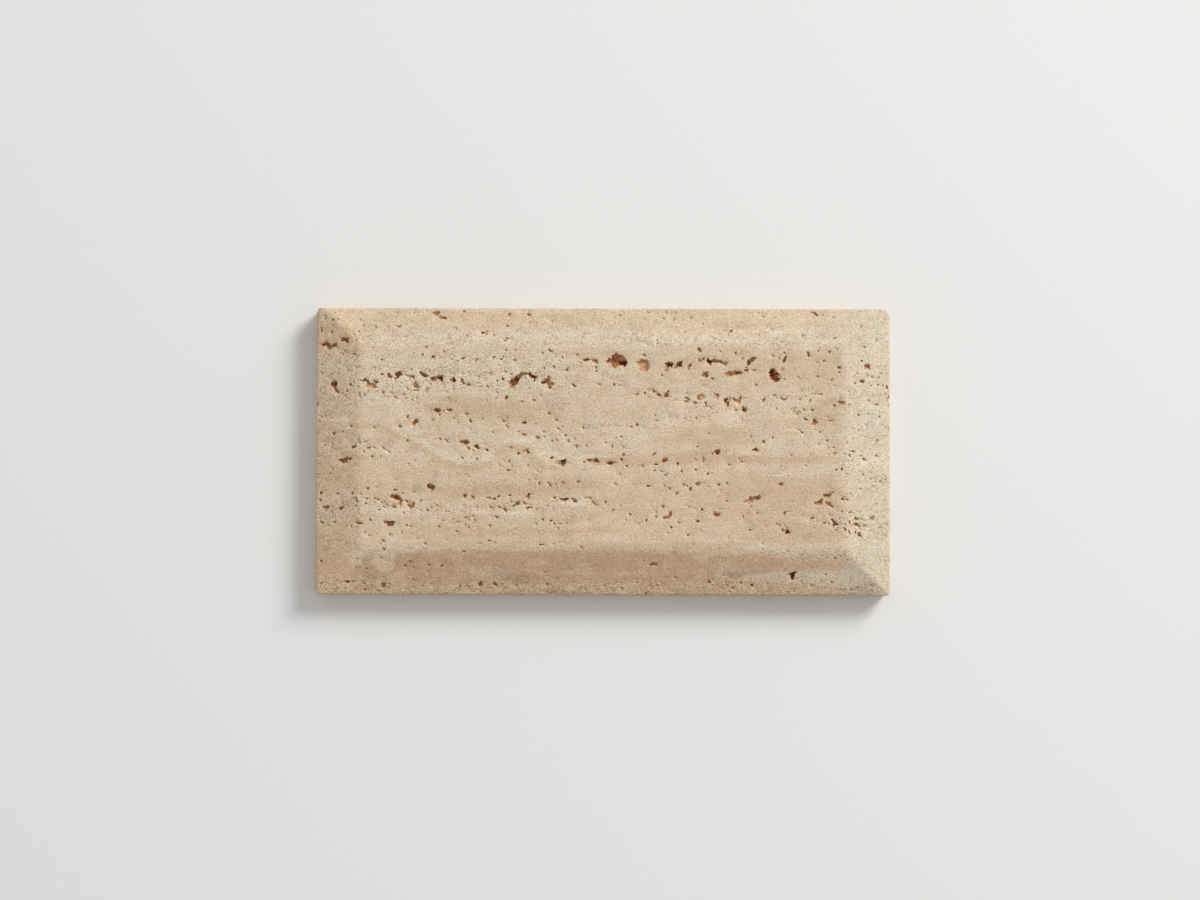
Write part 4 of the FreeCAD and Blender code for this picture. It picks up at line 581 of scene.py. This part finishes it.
reach = SKIN_CELLS * CELL
np.clip(stone_cells, -reach, reach, out=stone_cells)
block = openvdb.FloatGrid(reach)
block.copyFromArray(stone_cells, tolerance=1e-4)
points, triangles, quads = block.convertToPolygons(isovalue=0.0, adaptivity=FLATNESS)
points = points * CELL + (along_x[0], along_y[0], along_z[0])
faces = [tuple(face)[::-1] for face in triangles.tolist()] + [tuple(face)[::-1] for face in quads.tolist()]


def object_of(mesh, name):
    """Puts a mesh into the scene under a name."""
    made = bpy.data.objects.new(name, mesh)
    bpy.context.scene.collection.objects.link(made)
    return made


rough_mesh = bpy.data.meshes.new("rough_stone")
rough_mesh.from_pydata(points * MM, [], faces)
rough_stone = object_of(rough_mesh, "rough_stone")
thinned = rough_stone.modifiers.new("thinned", "DECIMATE")
thinned.ratio = min(1.0, MOST_TRIANGLES / (len(triangles) + 2 * len(quads)))
thinned.use_collapse_triangulate = True
evaluated = rough_stone.evaluated_get(bpy.context.evaluated_depsgraph_get())
stone_mesh = bpy.data.meshes.new_from_object(evaluated)
stone_mesh.name = "travertine_tile"
bpy.data.objects.remove(rough_stone)


def drop_crumbs(mesh):
    """Keeps only the one shell that holds the most points."""
    work = bmesh.new()
    work.from_mesh(mesh)
    waiting = set(work.verts)
    shells = []
    while waiting:
        start = waiting.pop()
        shell, front = [start], [start]
        while front:
            vertex = front.pop()
            for edge in vertex.link_edges:
                other = edge.other_vert(vertex)
                if other in waiting:
                    waiting.remove(other)
                    shell.append(other)
                    front.append(other)
        shells.append(shell)
    shells.sort(key=len)
    crumbs = [vertex for shell in shells[:-1] for vertex in shell]
    bmesh.ops.delete(work, geom=crumbs, context="VERTS")
    bmesh.ops.recalc_face_normals(work, faces=work.faces)
    work.to_mesh(mesh)
    work.free()


drop_crumbs(stone_mesh)
stone_points = np.empty(len(stone_mesh.vertices) * 3, np.float32)
stone_mesh.vertices.foreach_get("co", stone_points)
stone_points = np.clip(stone_points.reshape(-1, 3), TILE_LOW, TILE_HIGH)
stone_mesh.vertices.foreach_set("co", stone_points.ravel())
depths = stone_mesh.attributes.new(SEEN_DEPTH, "FLOAT", "POINT")
depths.data.foreach_set("value", np.maximum(0, -blank_distance(*(stone_points / MM).T)).astype(np.float32))
stone_mesh.polygons.foreach_set("use_smooth", np.ones(len(stone_mesh.polygons), bool))
stone_mesh.set_sharp_from_angle(angle=SHARP_FROM)
stone_mesh.update()


# The finish of the stone: honed on the face, sawn on the back. Its colour comes from the beds,
# fine layers within them, grain, and pores too small to cut, and darkens down into the voids.
PORE_BROWN = (0.440, 0.225, 0.090)
LIP_CREAM = (0.790, 0.715, 0.585)
REDDER_IN_SHADE = (0.72, 1.0, 1.25)
# The tint for the left end is lighter and warmer: partly the stone's own warmth there, partly painted light that
# offsets the shade on the left bevel
WARM_END_PAINTED_LIGHT = (0.728, 0.545, 0.350)
# The tint for the right end is greyer and slightly darker: partly the stone's own grey there, partly painted shade that
# tones down the strong light on the right bevel
ASHEN_END_PAINTED_SHADE = (0.545, 0.487, 0.376)
VOID_BROWN = (0.530, 0.286, 0.136)
VOID_DARK = (0.230, 0.062, 0.016)
HALF_SPAN_X = 80.0
HALF_SPAN_Y = 40.0
THICKEST = 10.0

stone = bpy.data.materials.new("unfilled_travertine")
stone.use_nodes = True
recipe = stone.node_tree
recipe.nodes.clear()


def pour(source, socket):
    """Feeds a socket with a number or a colour, or with what another step gives."""
    if isinstance(source, bpy.types.NodeSocket):
        recipe.links.new(source, socket)
    elif socket.type == "RGBA" and len(source) == 3:
        socket.default_value = (*source, 1)
    else:
        socket.default_value = source


def calc(operation, *values):
    """One sum."""
    made = recipe.nodes.new("ShaderNodeMath")
    made.operation = operation
    for socket, value in zip(made.inputs, values):
        pour(value, socket)
    return made.outputs[0]


def stretched(vector, along, across, upright):
    """A place scaled by its own amount each way."""
    made = recipe.nodes.new("ShaderNodeVectorMath")
    made.operation = "MULTIPLY"
    pour(vector, made.inputs[0])
    pour((along, across, upright), made.inputs[1])
    return made.outputs[0]


def noise(vector, detail=2.0, roughness=0.5):
    """Natural noise from 0 to 1, mostly near a half."""
    made = recipe.nodes.new("ShaderNodeTexNoise")
    pour(vector, made.inputs["Vector"])
    made.inputs["Scale"].default_value = 1.0
    made.inputs["Detail"].default_value = detail
    made.inputs["Roughness"].default_value = roughness
    return made.outputs[0]


def eased(value, low, high, at_low=0.0, at_high=1.0):
    """Goes gently from one value to another as the first runs from low to high."""
    made = recipe.nodes.new("ShaderNodeMapRange")
    made.interpolation_type = "SMOOTHSTEP"
    for socket, part in zip(made.inputs, (value, low, high, at_low, at_high)):
        pour(part, socket)
    return made.outputs[0]


def tinted(base, colour, share):
    """A colour laid over another, by a share from 0 to 1."""
    made = recipe.nodes.new("ShaderNodeMix")
    made.data_type = "RGBA"
    pour(share, made.inputs[0])
    pour(base, made.inputs[6])
    pour(colour, made.inputs[7])
    return made.outputs[2]


def blend(base, other, share):
    """The same for plain numbers."""
    made = recipe.nodes.new("ShaderNodeMix")
    pour(share, made.inputs[0])
    pour(base, made.inputs[2])
    pour(other, made.inputs[3])
    return made.outputs[0]


def drawn_line(along, points):
    """A smooth line through points whose places and values both run from 0 to 1."""
    made = recipe.nodes.new("ShaderNodeFloatCurve")
    curve = made.mapping.curves[0]
    made.mapping.extend = "HORIZONTAL"
    curve.points[0].location = points[0]
    curve.points[1].location = points[-1]
    for point in points[1:-1]:
        curve.points.new(*point)
    for point in curve.points:
        point.handle_type = "AUTO_CLAMPED"
    made.mapping.update()
    pour(along, made.inputs["Value"])
    return made.outputs[0]


places = recipe.nodes.new("ShaderNodeTexCoord")
scaled = recipe.nodes.new("ShaderNodeVectorMath")
scaled.operation = "SCALE"
pour(places.outputs["Object"], scaled.inputs[0])
pour(1 / MM, scaled.inputs["Scale"])
place = scaled.outputs[0]
parted = recipe.nodes.new("ShaderNodeSeparateXYZ")
pour(place, parted.inputs[0])
place_x, place_y, place_z = parted.outputs

slow_sway = calc("MULTIPLY_ADD", noise(stretched(place, 0.045, 0.12, 0.06)), 1.6, -0.8)
quick_sway = calc("MULTIPLY_ADD", noise(stretched(place, 0.24, 0.70, 0.40), 3.0), 2.2, -1.1)
fine_sway = calc("MULTIPLY_ADD", noise(stretched(place, 0.9, 2.0, 1.0), 3.0), 1.0, -0.5)
swayed_y = calc("ADD", calc("ADD", place_y, slow_sway), calc("ADD", quick_sway, fine_sway))
end_sway = calc("MULTIPLY_ADD", noise(stretched(place, 0.25, 0.9, 0.4), 3.0), 10.0, -5.0)
bed_along = calc("MULTIPLY_ADD", calc("ADD", place_x, end_sway), 0.5 / HALF_SPAN_X, 0.5)
bed_place = recipe.nodes.new("ShaderNodeCombineXYZ")
for socket, source in zip(bed_place.inputs, (place_x, swayed_y, place_z)):
    pour(source, socket)
bed_place = bed_place.outputs[0]

cloud = noise(stretched(bed_place, 0.10, 0.32, 0.14), 4.0, 0.6)
layers = noise(stretched(bed_place, 0.045, 1.15, 0.10), 3.0, 0.6)
thin_layers = noise(stretched(bed_place, 0.16, 3.2, 0.3), 2.0, 0.5)
grain = noise(stretched(place, 1.7, 2.2, 1.7), 4.0, 0.70)
fine_grain = noise(stretched(place, 3.6, 4.6, 3.6), 2.0, 0.6)

bed_colour = tinted(GROUND, CREAM, eased(cloud, 0.40, 0.66))
mottle = noise(stretched(bed_place, 0.17, 0.46, 0.2), 4.0, 0.65)
bed_colour = tinted(bed_colour, TAN, eased(mottle, 0.50, 0.68, 0.0, 0.45))
bed_colour = tinted(bed_colour, PALE, eased(mottle, 0.47, 0.32, 0.0, 0.42))
openness = eased(cloud, 0.35, 0.65, 0.25, 0.55)
patchy = eased(mottle, 0.32, 0.58, 0.62, 1.0)
for colour, strength, opening, border, line in BEDS:
    middles = [((x / HALF_SPAN_X + 1) / 2, (y / HALF_SPAN_Y + 1) / 2) for x, y, half in line]
    halves = [((x / HALF_SPAN_X + 1) / 2, half / THICKEST) for x, y, half in line]
    middle = calc("MULTIPLY_ADD", drawn_line(bed_along, middles), 2 * HALF_SPAN_Y, -HALF_SPAN_Y)
    off_middle = calc("ABSOLUTE", calc("SUBTRACT", swayed_y, middle))
    inside = calc("MULTIPLY_ADD", drawn_line(bed_along, halves), THICKEST, calc("MULTIPLY", off_middle, -1.0))
    share = calc("MULTIPLY", eased(inside, 0.0, border), patchy)
    bed_colour = tinted(bed_colour, colour, calc("MULTIPLY", share, strength))
    openness = blend(openness, opening, share)

ragged_place = recipe.nodes.new("ShaderNodeVectorMath")
pour(place, ragged_place.inputs[0])
pour(calc("ADD", quick_sway, fine_sway), ragged_place.inputs[1])
for x, y, radius in ROUND_HEADS:
    from_head = recipe.nodes.new("ShaderNodeVectorMath")
    from_head.operation = "DISTANCE"
    pour(ragged_place.outputs[0], from_head.inputs[0])
    pour((x, y, HEAD_HEIGHT), from_head.inputs[1])
    share = eased(calc("SUBTRACT", radius, from_head.outputs["Value"]), -HEAD_BORDER / 2, HEAD_BORDER / 2)
    bed_colour = tinted(bed_colour, HEAD_CREAM, calc("MULTIPLY", share, HEAD_SHARE))

ragged_x = calc("MULTIPLY_ADD", end_sway, 0.7, place_x)
# Painted light on the left bevel: this tint is partly the stone's warmth and partly a lightening that offsets the shade
# falling there
left_end_warmth_painted_light = eased(ragged_x, BEVEL_LEFT - HALF_LENGTH + 3.0, BEVEL_LEFT - HALF_LENGTH - 3.0, 0.0, 0.42)
bed_colour = tinted(bed_colour, WARM_END_PAINTED_LIGHT, left_end_warmth_painted_light)
# Painted shade on the right bevel: this tint is partly the stone's grey and partly a darkening that tones down the
# strong light falling there
right_end_ash_painted_shade = eased(ragged_x, HALF_LENGTH - BEVEL_RIGHT - 4.0, HALF_LENGTH - BEVEL_RIGHT + 5.0, 0.0, 0.62)
bed_colour = tinted(bed_colour, ASHEN_END_PAINTED_SHADE, right_end_ash_painted_shade)

# Pores too small to cut: ragged blots where the noise runs low, more of them in open beds, and
# the cream crumbs that stand up between them
gathering = calc("MULTIPLY_ADD", noise(stretched(place, 0.30, 0.55, 0.35)), 0.24, -0.12)
blots = noise(stretched(place, 1.25, 1.80, 1.4), 3.0, 0.65)
crumbs = noise(stretched(place, 2.2, 2.9, 2.3), 3.0, 0.65)
blot_level = calc("MULTIPLY_ADD", openness, 0.080, 0.325)
crumb_level = calc("MULTIPLY_ADD", openness, 0.080, 0.358)
wide_pores = eased(calc("SUBTRACT", calc("ADD", blots, gathering), blot_level), 0.012, -0.018)
fine_pores = eased(calc("SUBTRACT", calc("ADD", crumbs, gathering), crumb_level), 0.015, -0.025)
crumb_lips = calc("MULTIPLY", eased(crumbs, 0.52, 0.64), calc("MULTIPLY_ADD", openness, 0.75, 0.25))

# Layers, cloud and grain lighten and darken the colour of the bed
tone = calc("MULTIPLY_ADD", layers, 0.16, 0.92)
tone = calc("MULTIPLY", tone, calc("MULTIPLY_ADD", thin_layers, 0.12, 0.94))
grain_share = calc("MULTIPLY_ADD", openness, 0.70, 1.00)
grain_tone = calc("MULTIPLY_ADD", calc("SUBTRACT", grain, 0.5), grain_share, 1.0)
fine_tone = calc("MULTIPLY_ADD", calc("SUBTRACT", fine_grain, 0.5), grain_share, 1.0)
tone = calc("MULTIPLY", tone, calc("MULTIPLY", grain_tone, fine_tone))
warm_tone = recipe.nodes.new("ShaderNodeVectorMath")
warm_tone.operation = "MULTIPLY_ADD"
for socket, part in zip(warm_tone.inputs, (calc("SUBTRACT", tone, 1.0), REDDER_IN_SHADE, (1, 1, 1))):
    pour(part, socket)
toned = recipe.nodes.new("ShaderNodeVectorMath")
toned.operation = "MULTIPLY"
pour(bed_colour, toned.inputs[0])
pour(warm_tone.outputs[0], toned.inputs[1])
stone_colour = toned.outputs[0]
stone_colour = tinted(stone_colour, LIP_CREAM, calc("MULTIPLY", crumb_lips, 0.65))
stone_colour = tinted(stone_colour, PORE_BROWN, calc("MULTIPLY", wide_pores, 0.65))
stone_colour = tinted(stone_colour, PORE_BROWN, calc("MULTIPLY", fine_pores, 0.72))
sunk = recipe.nodes.new("ShaderNodeAttribute")
sunk.attribute_name = SEEN_DEPTH
depth = calc("MULTIPLY_ADD", calc("SUBTRACT", crumbs, 0.5), 0.5, sunk.outputs["Fac"])
stone_colour = tinted(stone_colour, VOID_BROWN, eased(depth, 0.08, 0.50, 0.0, 0.97))
stone_colour = tinted(stone_colour, VOID_DARK, eased(depth, 0.48, 1.9, 0.0, 1.0))

# Relief too fine to cut: the pores, the grain, and the marks of the saw on the back
relief = calc("MULTIPLY", wide_pores, -0.04)
relief = calc("MULTIPLY_ADD", calc("SUBTRACT", crumb_lips, fine_pores), 0.03, relief)
relief = calc("MULTIPLY_ADD", grain, calc("MULTIPLY_ADD", openness, 0.06, 0.04), relief)
saw = recipe.nodes.new("ShaderNodeTexWave")
pour(stretched(place, 0.16, 0.55, 0.0), saw.inputs["Vector"])
saw.inputs["Scale"].default_value = 1.0
saw.inputs["Distortion"].default_value = 1.5
on_back = eased(place_z, 0.3, 0.05)
relief = calc("MULTIPLY_ADD", calc("MULTIPLY", saw.outputs["Fac"], on_back), 0.03, relief)
bump = recipe.nodes.new("ShaderNodeBump")
bump.inputs["Strength"].default_value = 0.8
bump.inputs["Distance"].default_value = MM
pour(relief, bump.inputs["Height"])

finish = recipe.nodes.new("ShaderNodeBsdfPrincipled")
pour(stone_colour, finish.inputs["Base Color"])
pour(eased(openness, 0.0, 1.0, 0.56, 0.74), finish.inputs["Roughness"])
finish.inputs["Specular IOR Level"].default_value = 0.1
pour(bump.outputs[0], finish.inputs["Normal"])
output = recipe.nodes.new("ShaderNodeOutputMaterial")
recipe.links.new(finish.outputs[0], output.inputs["Surface"])

travertine_tile = object_of(stone_mesh, "travertine_tile_stone")
stone_mesh.materials.clear()
stone_mesh.materials.append(stone)
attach(travertine_tile, "root")
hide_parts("travertine_tile")


# The floor: one plain pale sheet that the tile lies on.
FLOOR_HALF = 3.0
FLOOR_DROP = 0.05 * MM
FLOOR_PALE = (0.775, 0.766, 0.752, 1)

floor_mesh = bpy.data.meshes.new("floor")
corners = [(x, y, -FLOOR_DROP) for x, y in ((-1, -1), (1, -1), (1, 1), (-1, 1))]
floor_mesh.from_pydata([(x * FLOOR_HALF, y * FLOOR_HALF, z) for x, y, z in corners], [], [(0, 1, 2, 3)])
floor = object_of(floor_mesh, "floor")
floor_finish = bpy.data.materials.new("floor_pale")
floor_finish.use_nodes = True
floor_shader = floor_finish.node_tree.nodes["Principled BSDF"]
floor_shader.inputs["Base Color"].default_value = FLOOR_PALE
floor_shader.inputs["Roughness"].default_value = 0.85
floor_shader.inputs["Specular IOR Level"].default_value = 0.1
floor_mesh.materials.append(floor_finish)


# The light: one large soft lamp up to the right of the tile and a dim even surround.
LAMP_AWAY = 2.2
LAMP_AZIMUTH = math.radians(43)
LAMP_ELEVATION = math.radians(29)
LAMP_SIZE = 0.85
LAMP_WATTS = 46.8
SURROUND = 0.555

lamp_data = bpy.data.lights.new("softbox", "AREA")
lamp_data.shape = "SQUARE"
lamp_data.size = LAMP_SIZE
lamp_data.energy = LAMP_WATTS
lamp = bpy.data.objects.new("softbox", lamp_data)
bpy.context.scene.collection.objects.link(lamp)
toward_lamp = Vector((
    math.cos(LAMP_ELEVATION) * math.cos(LAMP_AZIMUTH),
    math.cos(LAMP_ELEVATION) * math.sin(LAMP_AZIMUTH),
    math.sin(LAMP_ELEVATION),
))
lamp.location = toward_lamp * LAMP_AWAY
lamp.rotation_euler = toward_lamp.to_track_quat("Z", "Y").to_euler()

world = bpy.data.worlds.new("surround")
bpy.context.scene.world = world
world.use_nodes = True
air = world.node_tree
air.nodes.clear()
rays = air.nodes.new("ShaderNodeLightPath")
seen = air.nodes.new("ShaderNodeBackground")
seen.inputs["Color"].default_value = (0.80, 0.79, 0.78, 1)
lighting = air.nodes.new("ShaderNodeBackground")
lighting.inputs["Color"].default_value = (1, 1, 1, 1)
lighting.inputs["Strength"].default_value = SURROUND
choice = air.nodes.new("ShaderNodeMixShader")
sky = air.nodes.new("ShaderNodeOutputWorld")
air.links.new(rays.outputs["Is Camera Ray"], choice.inputs[0])
air.links.new(lighting.outputs[0], choice.inputs[1])
air.links.new(seen.outputs[0], choice.inputs[2])
air.links.new(choice.outputs[0], sky.inputs[0])
bpy.context.scene.view_settings.view_transform = "Standard"


# The camera: almost straight above the tile, a touch nearer to its lower edge.
CAMERA_AWAY = 0.9
CAMERA_LEAN = math.radians(3.0)
CAMERA_ROLL = math.radians(0.15)
SEEN_WIDTH = 318.6 * MM
AIMED_AT = Vector((-0.8, 0.4, 5.6)) * MM

camera_data = bpy.data.cameras.new("camera")
camera_data.angle = 2 * math.atan(SEEN_WIDTH / 2 / CAMERA_AWAY)
camera = bpy.data.objects.new("camera", camera_data)
bpy.context.scene.collection.objects.link(camera)
back = Vector((0, -math.sin(CAMERA_LEAN), math.cos(CAMERA_LEAN)))
turned = Matrix.Rotation(CAMERA_LEAN, 4, "X") @ Matrix.Rotation(CAMERA_ROLL, 4, "Z")
camera.matrix_world = Matrix.Translation(AIMED_AT + back * CAMERA_AWAY) @ turned
bpy.context.scene.camera = camera


# Brings the scene up to date
bpy.context.view_layer.update()
